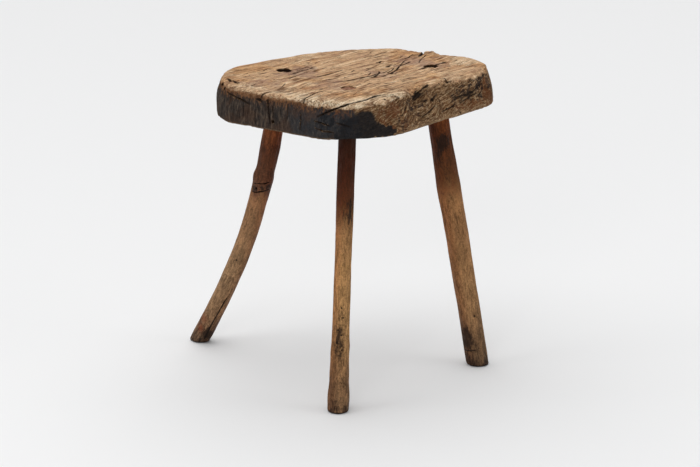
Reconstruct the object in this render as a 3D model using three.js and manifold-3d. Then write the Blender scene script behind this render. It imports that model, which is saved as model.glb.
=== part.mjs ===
// A rustic tripod stool: a thick hewn slab on three branch legs. Each leg ends in a tapered tenon
// that passes through a raked, reamed mortise in the slab and is spread there by a wedge.
// Millimetres, +Z up. The origin is on the floor, under the middle of the stool's bounding box.

import * as THREE from "three";
import { mergeVertices } from "three/addons/utils/BufferGeometryUtils.js";
import Module from "manifold-3d";

const wasm = await Module();
wasm.setup();

// Slab sizes
const SEAT_HEIGHT = 450; // floor to the flat of the top
const SLAB_WIDTH = 403; // left to right, between the outermost of the drawn corners
const SLAB_BREADTH = 367; // front to back, likewise
const SLAB_THICKNESS = 52;
const TOP_ARRIS = 8; // rounding of the worn upper edge
const LOWER_ARRIS = 4; // rounding of the lower edge
const WALL_SWELL = 2; // how far a side bellies out halfway up
const ROUNDED_SHARE = 0.42; // most of a side that one corner's rounding may take
const GRAIN_BEARING = 48; // degrees from +X towards +Y: the way the slab's grain runs

// The slab's corners at its lower edge, anticlockwise in plan. lean is how far the upper edge lies
// nearer the slab's centre there than the lower edge does, and round is the rounding in plan. The
// drawn plan, and every place marked on it below, is stretched to the slab's width and breadth.
const SLAB_CORNERS = [
  { x: -162, y: -73, lean: 4, round: 30 },
  { x: -91, y: -127, lean: 2, round: 50 },
  { x: -17, y: -180, lean: 9, round: 16 },
  { x: 25, y: -176, lean: -9, round: 14 },
  { x: 81, y: -159, lean: 16, round: 18 },
  { x: 151, y: -68, lean: 27, round: 60 },
  { x: 224, y: 20, lean: 15, round: 26 },
  { x: 230, y: 78, lean: 9, round: 24 },
  { x: 198, y: 124, lean: 6, round: 26 },
  { x: 161, y: 136, lean: 5, round: 14 },
  { x: 142, y: 151, lean: 3, round: 12 },
  { x: 123, y: 156, lean: 3, round: 10 },
  { x: 85, y: 187, lean: 3, round: 40 },
  { x: -24, y: 163, lean: 3, round: 70 },
  { x: -98, y: 106, lean: 3, round: 60 },
  { x: -159, y: 52, lean: 4, round: 30 },
  { x: -173, y: 0, lean: 6, round: 36 },
];

// Shallow hollows worn into the top
const TOP_HOLLOWS = [
  { x: 96, y: 28, radius: 60, depth: 2 },
  { x: -71, y: -78, radius: 55, depth: 2 },
  { x: 166, y: 83, radius: 38, depth: 2 },
];

// Splits that open the top: their course in plan, and their greatest width and depth. At its ends
// a split is as open as SPLIT_PINCH of that, and a lower SPLIT_EASE keeps it wide for longer.
const SPLIT_PINCH = 0.1;
const SPLIT_EASE = 0.6;
const FRONT_SPLIT = {
  course: [
    [-5, -186],
    [31, -160],
    [63, -130],
    [97, -106],
  ],
  width: 3,
  depth: 16,
};
const LONG_SPLIT = {
  course: [
    [-1, -52],
    [35, -21],
    [65, -8],
    [91, 58],
    [108, 112],
    [117, 150],
  ],
  width: 3,
  depth: 12,
};
const BACK_SPLIT = {
  course: [
    [121, 78],
    [125, 105],
    [129, 130],
    [133, 172],
  ],
  width: 5,
  depth: 6,
};

// Checks in the end grain that run the slab's full height: where each opens, how far it follows
// the grain inwards, and its width at the mouth.
const END_CHECKS = [
  { x: -101, y: -131, length: 30, width: 3 },
  { x: -92, y: -137, length: 20, width: 2.5 },
];

// Egg-shaped hollows in the long side: the pocket left by a rotted knot and two broad scoops. A
// hollow's centre is drop below the top. Its length tilts upwards by rise along its bearing, in
// degrees, which is the way that the side runs there.
const SIDE_HOLLOWS = [
  { x: 115, y: -84, drop: 11, length: 44, breadth: 19, depth: 15, rise: 11, bearing: 52 },
  { x: 184, y: -22, drop: 29, length: 58, breadth: 26, depth: 12, rise: 18, bearing: 47 },
  { x: 211, y: 12, drop: 26, length: 36, breadth: 26, depth: 10, rise: 30, bearing: 55 },
];

// Joint sizes
const NECK_LENGTH = 18; // stretch below the slab where a leg is shaved down to its tenon
const TENON_ROOT = 26; // diameter where the tenon enters the slab
const TENON_TIP = 21; // diameter at the top of the slab
const MORTISE_CLEARANCE = 0.35; // all round the tenon
const WEDGE_LENGTH = 30;
const WEDGE_BUTT = 5; // thickness at the driven end
const WEDGE_POINT = 1;
const KERF_CLEARANCE = 0.3; // all round the wedge
const CUTTER_OVERRUN = 12; // how far a cutter runs past the face that it cuts

// Leg ends
const SOLE_BEVEL = 3; // width of the worn edge round each sole
const LEVELLING = 40; // length over which a leg's sections turn level with the floor

// Legs. through is the mortise's centre on the top of the slab, and bearing the way the leg
// leaves it in plan. Along that way, splay is how far out the sole's centre stands, rake and kick
// are the slopes from the vertical at the tenon and at the sole, and bend is how far from the
// slab and from the sole those slopes carry. sunk is how far the tenon ends below the top, oval
// the section's breadth over its depth, and girth the depths by height above the floor.
const LEFT_LEG = {
  name: "left",
  through: [-75, 28],
  bearing: 142.3,
  splay: 174.3,
  rake: 12.8,
  kick: 31,
  bend: [212, 158],
  sunk: 7,
  oval: 0.95,
  girth: [
    [0, 28],
    [16, 29],
    [60, 27.6],
    [150, 28.4],
    [240, 28],
    [272, 28.8],
    [284, 30],
    [296, 28],
    [330, 29.2],
    [400, 29],
  ],
};
const FRONT_LEG = {
  name: "front",
  through: [18, -84],
  bearing: 258.5,
  splay: 77.6,
  rake: 9.8,
  kick: 9.8,
  bend: [140, 140],
  sunk: 2,
  oval: 1,
  girth: [
    [0, 30],
    [18, 30.4],
    [45, 27.2],
    [80, 25.8],
    [92, 25.4],
    [140, 24.6],
    [220, 24.2],
    [300, 24.8],
    [400, 25.6],
  ],
};
const RIGHT_LEG = {
  name: "right",
  through: [136.5, 52.5],
  bearing: 343.3,
  splay: 77.5,
  rake: 8.6,
  kick: 9.4,
  bend: [110, 140],
  sunk: 4,
  oval: 0.97,
  girth: [
    [0, 33],
    [20, 34],
    [70, 33.4],
    [150, 34],
    [230, 34],
    [272, 35],
    [300, 34],
    [340, 32],
    [400, 31],
  ],
};
const LEGS = [LEFT_LEG, FRONT_LEG, RIGHT_LEG];

// Counts of facets
const CORNER_STEPS = 4;
const SIDE_STEPS = 3;
const ARRIS_STEPS = 3;
const WALL_STEPS = 4;
const TOP_RINGS = [0.88, 0.74, 0.6, 0.46, 0.32, 0.18, 0.06];
const UNDERSIDE_RINGS = [0.2, 0.5, 0.8];
const SPLIT_STEPS = 4;
const HOLLOW_SEGMENTS = 20;
const HOLLOW_RINGS = 12;
const LEG_SIDES = 20;
const SHANK_RINGS = 34;
const TENON_RINGS = 3;
const MERGE_TOLERANCE = 0.001; // points nearer than this become one

const DRAWN_PLAN = new THREE.Box2().setFromPoints(SLAB_CORNERS);
const DRAWN_SIZE = DRAWN_PLAN.getSize(new THREE.Vector2());
const SLAB_STRETCH = new THREE.Vector2(SLAB_WIDTH, SLAB_BREADTH).divide(DRAWN_SIZE);
const SLAB_CENTRE = onSlab(21, -2);
const UNDERSIDE_HEIGHT = SEAT_HEIGHT - SLAB_THICKNESS;
const UP = new THREE.Vector3(0, 0, 1);
const radians = THREE.MathUtils.degToRad;

const wood = (colour, roughness) =>
  new THREE.MeshStandardMaterial({ color: colour, roughness, metalness: 0 });
const SLAB_WOOD = wood(0xa98a63, 0.85);
const LEG_WOODS = {
  left: wood(0x7d5333, 0.6),
  front: wood(0x8a6338, 0.6),
  right: wood(0x80603c, 0.6),
};
const WEDGE_WOOD = wood(0x9c7a4e, 0.8);

// Where a place marked on the drawn plan lies on the slab.
function onSlab(x, y) {
  return new THREE.Vector2(x, y).multiply(SLAB_STRETCH);
}

// A closed triangle mesh as a solid that can be joined and cut.
function solidFrom(geometry) {
  const bare = new THREE.BufferGeometry();
  bare.setAttribute("position", geometry.getAttribute("position").clone());
  bare.setIndex(geometry.getIndex());
  const merged = mergeVertices(bare, MERGE_TOLERANCE);
  return new wasm.Manifold(
    new wasm.Mesh({
      numProp: 3,
      vertProperties: new Float32Array(merged.getAttribute("position").array),
      triVerts: new Uint32Array(merged.getIndex().array),
    }),
  );
}

// A solid as a named, flat-shaded mesh.
function meshOf(name, solid, material) {
  const { vertProperties, triVerts } = solid.getMesh();
  const geometry = new THREE.BufferGeometry();
  geometry.setAttribute("position", new THREE.BufferAttribute(vertProperties, 3));
  geometry.setIndex(new THREE.BufferAttribute(triVerts, 1));
  const faceted = geometry.toNonIndexed();
  faceted.computeVertexNormals();
  const mesh = new THREE.Mesh(faceted, material);
  mesh.name = name;
  return mesh;
}

// Joins rings of points, each anticlockwise seen from the end of the list, into a closed skin with
// a fan of triangles over each end.
function skin(rings) {
  const sides = rings[0].length;
  const points = rings.flat();
  const faces = [];
  for (let k = 0; k + 1 < rings.length; k += 1) {
    for (let j = 0; j < sides; j += 1) {
      const a = k * sides + j;
      const b = k * sides + ((j + 1) % sides);
      faces.push(a, b, b + sides, a, b + sides, a + sides);
    }
  }
  const centreOf = (ring) =>
    ring.reduce((sum, point) => sum.add(point), new THREE.Vector3()).divideScalar(sides);
  const firstCentre = points.push(centreOf(rings[0])) - 1;
  const lastCentre = points.push(centreOf(rings[rings.length - 1])) - 1;
  const lastRing = (rings.length - 1) * sides;
  for (let j = 0; j < sides; j += 1) {
    const next = (j + 1) % sides;
    faces.push(firstCentre, next, j);
    faces.push(lastCentre, lastRing + j, lastRing + next);
  }
  const geometry = new THREE.BufferGeometry().setFromPoints(points);
  geometry.setIndex(faces);
  return geometry;
}

// The slab's outline in plan with rounded corners. share goes from 0 at the lower edge to 1 at the
// upper edge, and every outline has its points in the same order.
function outlineAt(share) {
  const count = SLAB_CORNERS.length;
  const corners = SLAB_CORNERS.map(({ x, y, lean }) => {
    const corner = onSlab(x, y);
    const inward = SLAB_CENTRE.clone().sub(corner).normalize();
    return corner.addScaledVector(inward, lean * share);
  });
  const arcs = corners.map((corner, i) => {
    const cutBack = (neighbour) => {
      const side = neighbour.clone().sub(corner);
      const length = Math.min(SLAB_CORNERS[i].round, ROUNDED_SHARE * side.length());
      return corner.clone().add(side.setLength(length));
    };
    const start = cutBack(corners[(i + count - 1) % count]);
    const end = cutBack(corners[(i + 1) % count]);
    return new THREE.QuadraticBezierCurve(start, corner, end).getPoints(CORNER_STEPS);
  });
  return arcs.flatMap((arc, i) => {
    const next = arcs[(i + 1) % count][0];
    const side = [];
    for (let k = 1; k < SIDE_STEPS; k += 1) {
      side.push(arc[CORNER_STEPS].clone().lerp(next, k / SIDE_STEPS));
    }
    return [...arc, ...side];
  });
}

// Moves an outline's points inwards along its own normals.
function insetBy(outline, inset) {
  return outline.map((point, i) => {
    const before = outline[(i + outline.length - 1) % outline.length];
    const after = outline[(i + 1) % outline.length];
    const along = after.clone().sub(before).normalize();
    return point.clone().add(new THREE.Vector2(-along.y, along.x).multiplyScalar(inset));
  });
}

// Shrinks an outline towards the slab's centre.
function shrunkTo(outline, share) {
  return outline.map((point) => SLAB_CENTRE.clone().lerp(point, share));
}

// Height of the top above the underside: level, less each hollow, which fades out at its radius.
function topHeight(x, y) {
  return TOP_HOLLOWS.reduce((height, hollow) => {
    const share = onSlab(hollow.x, hollow.y).distanceTo({ x, y }) / hollow.radius;
    return share < 1 ? height - hollow.depth * (1 - share * share) ** 2 : height;
  }, SLAB_THICKNESS);
}

// The slab before it is cut, on its own underside: rings from the underside's middle, out, up the
// wall and in to the top's middle.
function slabBlank() {
  const ring = (outline, heightAt) =>
    outline.map(({ x, y }) => new THREE.Vector3(x, y, heightAt(x, y)));
  const rings = [];
  const foot = outlineAt(0);
  const crown = outlineAt(1);
  for (const share of UNDERSIDE_RINGS) {
    rings.push(ring(shrunkTo(insetBy(foot, LOWER_ARRIS), share), () => 0));
  }
  for (let k = 0; k < ARRIS_STEPS; k += 1) {
    const turn = (k / ARRIS_STEPS) * (Math.PI / 2);
    const outline = insetBy(foot, LOWER_ARRIS * (1 - Math.sin(turn)));
    rings.push(ring(outline, () => LOWER_ARRIS * (1 - Math.cos(turn))));
  }
  for (let k = 0; k <= WALL_STEPS; k += 1) {
    const share = k / WALL_STEPS;
    const outline = insetBy(outlineAt(share), -WALL_SWELL * Math.sin(share * Math.PI));
    const height = THREE.MathUtils.lerp(LOWER_ARRIS, SLAB_THICKNESS - TOP_ARRIS, share);
    rings.push(ring(outline, () => height));
  }
  for (let k = 1; k <= ARRIS_STEPS; k += 1) {
    const turn = (k / ARRIS_STEPS) * (Math.PI / 2);
    const outline = insetBy(crown, TOP_ARRIS * (1 - Math.cos(turn)));
    const drop = TOP_ARRIS * (1 - Math.sin(turn));
    rings.push(ring(outline, (x, y) => topHeight(x, y) - drop));
  }
  for (const share of TOP_RINGS) {
    rings.push(ring(shrunkTo(insetBy(crown, TOP_ARRIS), share), topHeight));
  }
  return solidFrom(skin(rings));
}

// A V-shaped cutter along a split's course, pinched at both ends, that stands above the top.
function splitCutter({ course, width, depth }) {
  const curve = new THREE.SplineCurve(course.map(([x, y]) => onSlab(x, y)));
  const stations = SPLIT_STEPS * (course.length - 1);
  const rings = [];
  for (let k = 0; k <= stations; k += 1) {
    const at = curve.getPointAt(k / stations);
    const along = curve.getTangentAt(k / stations);
    const open = Math.max(SPLIT_PINCH, Math.sin((k / stations) * Math.PI) ** SPLIT_EASE);
    const halfWidth = 0.5 * width * (open + CUTTER_OVERRUN / depth);
    const across = new THREE.Vector2(-along.y, along.x).multiplyScalar(halfWidth);
    const above = SLAB_THICKNESS + CUTTER_OVERRUN;
    rings.push([
      new THREE.Vector3(at.x, at.y, SLAB_THICKNESS - depth * open),
      new THREE.Vector3(at.x + across.x, at.y + across.y, above),
      new THREE.Vector3(at.x - across.x, at.y - across.y, above),
    ]);
  }
  return solidFrom(skin(rings));
}

// An upright blade that tapers inwards along the grain, through the slab's full height.
function checkCutter({ x, y, length, width }) {
  const bearing = radians(GRAIN_BEARING);
  const along = new THREE.Vector2(Math.cos(bearing), Math.sin(bearing));
  const across = new THREE.Vector2(-along.y, along.x).multiplyScalar(width / 2);
  const mouth = onSlab(x, y).addScaledVector(along, -CUTTER_OVERRUN);
  const tip = onSlab(x, y).addScaledVector(along, length);
  const plan = new THREE.Shape([mouth.clone().sub(across), tip, mouth.clone().add(across)]);
  const geometry = new THREE.ExtrudeGeometry(plan, {
    depth: SLAB_THICKNESS + 2 * CUTTER_OVERRUN,
    bevelEnabled: false,
  });
  geometry.translate(0, 0, -CUTTER_OVERRUN);
  return solidFrom(geometry);
}

// An egg-shaped cutter for a hollow in the long side.
function hollowCutter({ x, y, drop, length, breadth, depth, rise, bearing }) {
  const geometry = new THREE.SphereGeometry(0.5, HOLLOW_SEGMENTS, HOLLOW_RINGS);
  geometry.scale(length, depth, breadth);
  geometry.rotateY(radians(-rise));
  geometry.rotateZ(radians(bearing));
  const place = onSlab(x, y);
  geometry.translate(place.x, place.y, SLAB_THICKNESS - drop);
  return solidFrom(geometry);
}

// Each leg has its own frame, with the origin at the mortise's centre on the top of the slab, +X
// along the leg's bearing and +Z up. slope is a direction there, leaning back from +X by an angle.
function slope(degrees) {
  return new THREE.Vector3(-Math.sin(radians(degrees)), 0, Math.cos(radians(degrees)));
}

// The point of the tenon's axis at a height, from the top of the slab.
function onTenonAxis({ rake }, height) {
  const axis = slope(rake);
  return axis.multiplyScalar(height / axis.z);
}

// Diameter of the tapered tenon at a height from the top of the slab, carried on past both faces.
function tenonDiameter(height) {
  return TENON_TIP - ((TENON_ROOT - TENON_TIP) * height) / SLAB_THICKNESS;
}

// One ring of a leg: an oval round centre and square to along, slid along that way until it lies
// in the plane whose normal is facing.
function legRing(centre, along, facing, depth, oval) {
  const first = new THREE.Vector3(1, 0, 0).projectOnPlane(along).normalize();
  const second = along.clone().cross(first);
  const ring = [];
  for (let j = 0; j < LEG_SIDES; j += 1) {
    const turn = (j / LEG_SIDES) * 2 * Math.PI;
    const spoke = first.clone().multiplyScalar(0.5 * depth * Math.cos(turn));
    spoke.addScaledVector(second, 0.5 * depth * oval * Math.sin(turn));
    const slide = -spoke.dot(facing) / along.dot(facing);
    ring.push(centre.clone().add(spoke).addScaledVector(along, slide));
  }
  return ring;
}

// A leg's depth at a height above the floor, eased between the listed girths. The last one holds
// from there up.
function girthAt({ girth }, height) {
  const last = girth[girth.length - 1];
  if (height >= last[0]) return last[1];
  const upper = girth.findIndex(([level]) => level > height);
  const [lowLevel, lowDepth] = girth[upper - 1];
  const [highLevel, highDepth] = girth[upper];
  const share = THREE.MathUtils.smoothstep(height, lowLevel, highLevel);
  return THREE.MathUtils.lerp(lowDepth, highDepth, share);
}

// The shank's centre line, from the sole up to the underside of the slab.
function shankCurve(leg) {
  const sole = new THREE.Vector3(leg.splay, 0, -SEAT_HEIGHT);
  const root = onTenonAxis(leg, -SLAB_THICKNESS);
  return new THREE.CubicBezierCurve3(
    sole,
    sole.clone().addScaledVector(slope(leg.kick), leg.bend[1]),
    root.clone().addScaledVector(slope(leg.rake), -leg.bend[0]),
    root,
  );
}

// The rings of the bevelled sole, the bent shank and the shaved neck.
function shankRings(leg) {
  const curve = shankCurve(leg);
  const length = curve.getLength();
  const rings = [];
  const soleDepth = girthAt(leg, 0) - 2 * SOLE_BEVEL;
  rings.push(legRing(curve.getPointAt(0), curve.getTangentAt(0), UP, soleDepth, leg.oval));
  const bevelTop = SOLE_BEVEL / length;
  for (let k = 0; k < SHANK_RINGS; k += 1) {
    const share = THREE.MathUtils.lerp(bevelTop, 1, k / SHANK_RINGS);
    const centre = curve.getPointAt(share);
    const along = curve.getTangentAt(share);
    const risen = THREE.MathUtils.clamp((share - bevelTop) * (length / LEVELLING), 0, 1);
    const facing = UP.clone().lerp(along, risen).normalize();
    const shaved = THREE.MathUtils.smoothstep(share, 1 - NECK_LENGTH / length, 1);
    const girth = girthAt(leg, centre.z + SEAT_HEIGHT);
    const depth = THREE.MathUtils.lerp(girth, TENON_ROOT, shaved);
    const oval = THREE.MathUtils.lerp(leg.oval, 1, shaved);
    rings.push(legRing(centre, along, facing, depth, oval));
  }
  return rings;
}

// A whole leg before its kerf is sawn. The tenon's end is level with the top.
function legBlank(leg) {
  const axis = slope(leg.rake);
  const rings = shankRings(leg);
  for (let k = 0; k <= TENON_RINGS; k += 1) {
    const share = k / TENON_RINGS;
    const height = THREE.MathUtils.lerp(-SLAB_THICKNESS, -leg.sunk, share);
    const facing = axis.clone().lerp(UP, share).normalize();
    rings.push(legRing(onTenonAxis(leg, height), axis, facing, tenonDiameter(height), 1));
  }
  return solidFrom(skin(rings));
}

// The reamed hole for a leg's tenon, run out past both faces of the slab, in the leg's frame.
function reamedHole(leg) {
  const axis = slope(leg.rake);
  const ends = [-SLAB_THICKNESS - CUTTER_OVERRUN, CUTTER_OVERRUN];
  return skin(
    ends.map((height) => {
      const diameter = tenonDiameter(height) + 2 * MORTISE_CLEARANCE;
      return legRing(onTenonAxis(leg, height), axis, axis, diameter, 1);
    }),
  );
}

// A wedge-shaped blade down a tenon's axis, broad across the slab's grain so that it can't split
// the slab, grown all round by a clearance and standing above the tenon's end.
function blade(leg, clearance) {
  const axis = slope(leg.rake);
  const grain = new THREE.Vector3(1, 0, 0).applyAxisAngle(UP, radians(GRAIN_BEARING - leg.bearing));
  const thick = grain.projectOnPlane(axis).normalize();
  const broad = axis.clone().cross(thick);
  const taper = (WEDGE_BUTT - WEDGE_POINT) / WEDGE_LENGTH;
  const end = onTenonAxis(leg, -leg.sunk);
  const section = (rise) => {
    const centre = end.clone().addScaledVector(axis, rise);
    const halfThick = 0.5 * (WEDGE_BUTT + taper * rise) + clearance;
    const corner = (s, t) =>
      centre.clone().addScaledVector(thick, s * halfThick).addScaledVector(broad, t * TENON_ROOT);
    return [corner(-1, -1), corner(1, -1), corner(1, 1), corner(-1, 1)];
  };
  return solidFrom(skin([section(-WEDGE_LENGTH - clearance), section(CUTTER_OVERRUN)]));
}

// Puts an object in a leg's frame, for a slab whose underside is at a height.
function placeLeg(object, leg, underside) {
  const place = onSlab(...leg.through);
  object.position.set(place.x, place.y, underside + SLAB_THICKNESS);
  object.rotation.z = radians(leg.bearing);
}

// A leg's mortise as a cutter on the slab's own underside.
function mortiseCutter(leg) {
  const frame = new THREE.Object3D();
  placeLeg(frame, leg, 0);
  frame.updateMatrix();
  return solidFrom(reamedHole(leg).applyMatrix4(frame.matrix));
}

function buildSeat() {
  const cutters = [
    ...LEGS.map(mortiseCutter),
    splitCutter(FRONT_SPLIT),
    splitCutter(LONG_SPLIT),
    splitCutter(BACK_SPLIT),
    ...END_CHECKS.map(checkCutter),
    ...SIDE_HOLLOWS.map(hollowCutter),
  ];
  const slab = cutters.reduce((solid, cutter) => solid.subtract(cutter), slabBlank());
  const seat = meshOf("seat", slab, SLAB_WOOD);
  seat.position.z = UNDERSIDE_HEIGHT;
  return seat;
}

function buildLeg(leg) {
  const blank = legBlank(leg);
  const sawn = blank.subtract(blade(leg, KERF_CLEARANCE));
  const wedge = blank.intersect(blade(leg, 0));
  const group = new THREE.Group();
  group.add(meshOf(`${leg.name}_leg`, sawn, LEG_WOODS[leg.name]));
  group.add(meshOf(`${leg.name}_wedge`, wedge, WEDGE_WOOD));
  placeLeg(group, leg, UNDERSIDE_HEIGHT);
  return group;
}

const stool = new THREE.Group();
stool.add(buildSeat(), ...LEGS.map(buildLeg));

export default stool;
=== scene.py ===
"""A rustic tripod stool: a thick hewn slab, weathered and split, on three shaved branch legs.

Shapes are worked out in millimetres in the shared frame and become metres when a mesh is made.
"""

import itertools
import math

import bpy
import numpy as np
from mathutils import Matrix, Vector


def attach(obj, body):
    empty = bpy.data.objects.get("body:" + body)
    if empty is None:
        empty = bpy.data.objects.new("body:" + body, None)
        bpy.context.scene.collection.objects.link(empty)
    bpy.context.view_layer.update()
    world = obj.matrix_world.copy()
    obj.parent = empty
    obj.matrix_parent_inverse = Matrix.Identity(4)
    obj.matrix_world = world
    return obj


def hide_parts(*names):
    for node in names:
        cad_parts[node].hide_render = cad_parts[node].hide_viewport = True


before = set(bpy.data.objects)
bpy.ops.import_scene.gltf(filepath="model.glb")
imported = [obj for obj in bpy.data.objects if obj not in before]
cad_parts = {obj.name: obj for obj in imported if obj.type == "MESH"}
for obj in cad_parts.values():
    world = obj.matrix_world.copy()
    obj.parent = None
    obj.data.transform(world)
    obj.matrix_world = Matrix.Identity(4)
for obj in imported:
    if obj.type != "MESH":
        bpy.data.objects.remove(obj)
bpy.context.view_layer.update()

MM = 0.001

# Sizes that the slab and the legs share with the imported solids
SEAT_HEIGHT = 450
SLAB_THICKNESS = 52
UNDERSIDE = SEAT_HEIGHT - SLAB_THICKNESS
TOP_ARRIS = 8
LOWER_ARRIS = 4
WALL_SWELL = 2
ROUNDED_SHARE = 0.42
SLAB_CENTRE = np.array([21.0, -2.0])
TENON_ROOT = 26
TENON_TIP = 21
MORTISE_CLEARANCE = 0.35
NECK_LENGTH = 18
WEDGE_LENGTH = 30
WEDGE_BUTT = 5
WEDGE_POINT = 1
KERF_CLEARANCE = 0.3
KERF_BEARING = 48
OVERRUN = 12
SOLE_BEVEL = 3
LEVELLING = 40

# The slab's corners at its lower edge: x, y, lean of the upper edge towards the centre, rounding
SLAB_CORNERS = np.array(
    [
        (-162, -73, 4, 30),
        (-91, -127, 2, 50),
        (-17, -180, 9, 16),
        (25, -176, -9, 14),
        (81, -159, 16, 18),
        (151, -68, 27, 60),
        (224, 20, 15, 26),
        (230, 78, 9, 24),
        (198, 124, 6, 26),
        (161, 136, 5, 14),
        (142, 151, 3, 12),
        (123, 156, 3, 10),
        (85, 187, 3, 40),
        (-24, 163, 3, 70),
        (-98, 106, 3, 60),
        (-159, 52, 4, 30),
        (-173, 0, 6, 36),
    ],
    float,
)
TOP_HOLLOWS = ((96, 28, 60, 2), (-71, -78, 55, 2), (166, 83, 38, 2))

# Each leg: where its tenon comes through the top, the bearing that it splays to and how far, the
# angles of its tenon and of its foot from the vertical, the handles of its bend, how far its end is
# sunk, its oval, and its depth at heights above the floor
LEGS = {
    "left": dict(
        through=(-75, 28), bearing=142.3, splay=174.3, rake=12.8, kick=31, bend=(212, 158), sunk=7,
        oval=0.95, girth=((0, 28), (16, 29), (60, 27.6), (150, 28.4), (240, 28), (272, 28.8), (284, 30),
                          (296, 28), (330, 29.2), (400, 29)),
    ),
    "front": dict(
        through=(18, -84), bearing=258.5, splay=77.6, rake=9.8, kick=9.8, bend=(140, 140), sunk=2,
        oval=1, girth=((0, 30), (18, 30.4), (45, 27.2), (80, 25.8), (92, 25.4), (140, 24.6), (220, 24.2),
                       (300, 24.8), (400, 25.6)),
    ),
    "right": dict(
        through=(136.5, 52.5), bearing=343.3, splay=77.5, rake=8.6, kick=9.4, bend=(110, 140), sunk=4,
        oval=0.97, girth=((0, 33), (20, 34), (70, 33.4), (150, 34), (230, 34), (272, 35), (300, 34),
                          (340, 32), (400, 31)),
    ),
}

# How the log lay: the bearing of its grain, and a point of its pith, below the slab
GRAIN_BEARING = 50
PITH_POINT = np.array([30.0, 10.0, 345.0])

# Lost branches, where the rings bulge: x, y, z, reach, lift
KNOTS = (
    (-113, -57, 450, 15, 15),
    (-90, -46, 450, 12, 9),
    (-44, 60, 450, 26, 9),
    (96, 92, 450, 24, 11),
    (150, 60, 450, 30, 9),
    (134, -67, 429, 14, 12),
    (158, -30, 441, 10, 9),
    (115, -84, 437, 24, 16),
    (200, -8, 420, 22, 14),
    (74, -150, 428, 20, 12),
)


# Numbers and noise

UP = np.array([0.0, 0.0, 1.0])
LATTICE_SIZE = 64
LATTICE = np.random.default_rng(7).uniform(-1, 1, (LATTICE_SIZE,) * 3)


def noise(points, size, shift=0.0):
    """Smooth noise from -1 to 1: seeded values on a lattice whose cells measure size along each
    axis, blended with a smoothstep. shift moves to another part of the lattice."""
    place = np.asarray(points, float) / np.asarray(size, float) + shift
    cell = np.floor(place).astype(int)
    share = place - cell
    share = share * share * (3 - 2 * share)
    total = np.zeros(place.shape[:-1])
    for corner in itertools.product((0, 1), repeat=3):
        weight = np.prod(np.where(corner, share, 1 - share), axis=-1)
        index = (cell + corner) % LATTICE_SIZE
        total += weight * LATTICE[index[..., 0], index[..., 1], index[..., 2]]
    return total


def smoothstep(low, high, value):
    """0 below low, 1 above high, and an S-curve between; low may be the larger of the two."""
    share = np.clip((value - low) / (high - low), 0, 1)
    return share * share * (3 - 2 * share)


def unit(vectors):
    """Each vector divided by its own length."""
    return vectors / np.maximum(np.linalg.norm(vectors, axis=-1, keepdims=True), 1e-12)


def radial(degrees):
    """The level direction at a bearing from +X towards +Y."""
    turn = math.radians(degrees)
    return np.array([math.cos(turn), math.sin(turn), 0.0])


def run_along(path):
    """The length run along a polyline at each of its points."""
    return np.concatenate([[0], np.cumsum(np.linalg.norm(np.diff(path, axis=0), axis=1))])


def resampled(path, count):
    """Points at even lengths along a polyline."""
    path = np.asarray(path, float)
    reach = run_along(path)
    at = np.linspace(0, reach[-1], count)
    return np.stack([np.interp(at, reach, axis) for axis in path.T], axis=-1)


def rounded(path, count):
    """A smooth course through a polyline's points: the polyline at even lengths, averaged with its
    neighbours a few times while its ends stay."""
    points = resampled(path, count)
    for _ in range(3):
        points[1:-1] = (points[:-2] + 2 * points[1:-1] + points[2:]) / 4
    return points


# Meshes


def grid_faces(rows, columns, closed=False):
    """Quads between neighbouring points of a grid stored row by row. A closed grid's last column
    meets its first."""
    across = columns if closed else columns - 1
    row, column = np.meshgrid(np.arange(rows - 1), np.arange(across), indexing="ij")
    after = (column + 1) % columns
    low, high = row * columns, (row + 1) * columns
    return np.stack([low + column, low + after, high + after, high + column], -1).reshape(-1, 4)


def fan_faces(ring, centre):
    """Triangles from each side of a closed ring of point numbers to one centre point."""
    return np.stack([ring, np.roll(ring, -1), np.full(len(ring), centre)], -1)


def halving_faces(wide, narrow):
    """Triangles between a closed ring of point numbers and one that has half as many."""
    first, second, third = wide[0::2], wide[1::2], np.roll(wide, -2)[0::2]
    after = np.roll(narrow, -1)
    corners = (first, second, narrow), (second, third, after), (second, after, narrow)
    return np.concatenate([np.stack(three, -1) for three in corners])


def tube(rows, ends=None):
    """Points and faces of a closed tube: rings of points row by row, and a fan over each end round
    the middle of its ring or round a given point."""
    count, sides = rows.shape[:2]
    ends = (rows[0].mean(0), rows[-1].mean(0)) if ends is None else ends
    ring = np.arange(sides)
    faces = [
        grid_faces(count, sides, closed=True),
        fan_faces(ring[::-1], count * sides),
        fan_faces(ring + (count - 1) * sides, count * sides + 1),
    ]
    return np.concatenate([rows.reshape(-1, 3), ends]), faces


def triangles_of(faces):
    """Every face as triangles, for sums over the surface."""
    parts = [group[:, :3] for group in faces]
    parts += [group[:, [0, 2, 3]] for group in faces if group.shape[1] == 4]
    return np.concatenate(parts)


def point_normals(points, faces):
    """Outward directions at the points: the sum of the area-weighted normals of the triangles that
    meet there."""
    triangles = triangles_of(faces)
    corners = points[triangles]
    normals = np.cross(corners[:, 1] - corners[:, 0], corners[:, 2] - corners[:, 0])
    total = np.zeros_like(points)
    for numbers in triangles.T:
        np.add.at(total, numbers, normals)
    return unit(total)


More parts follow.
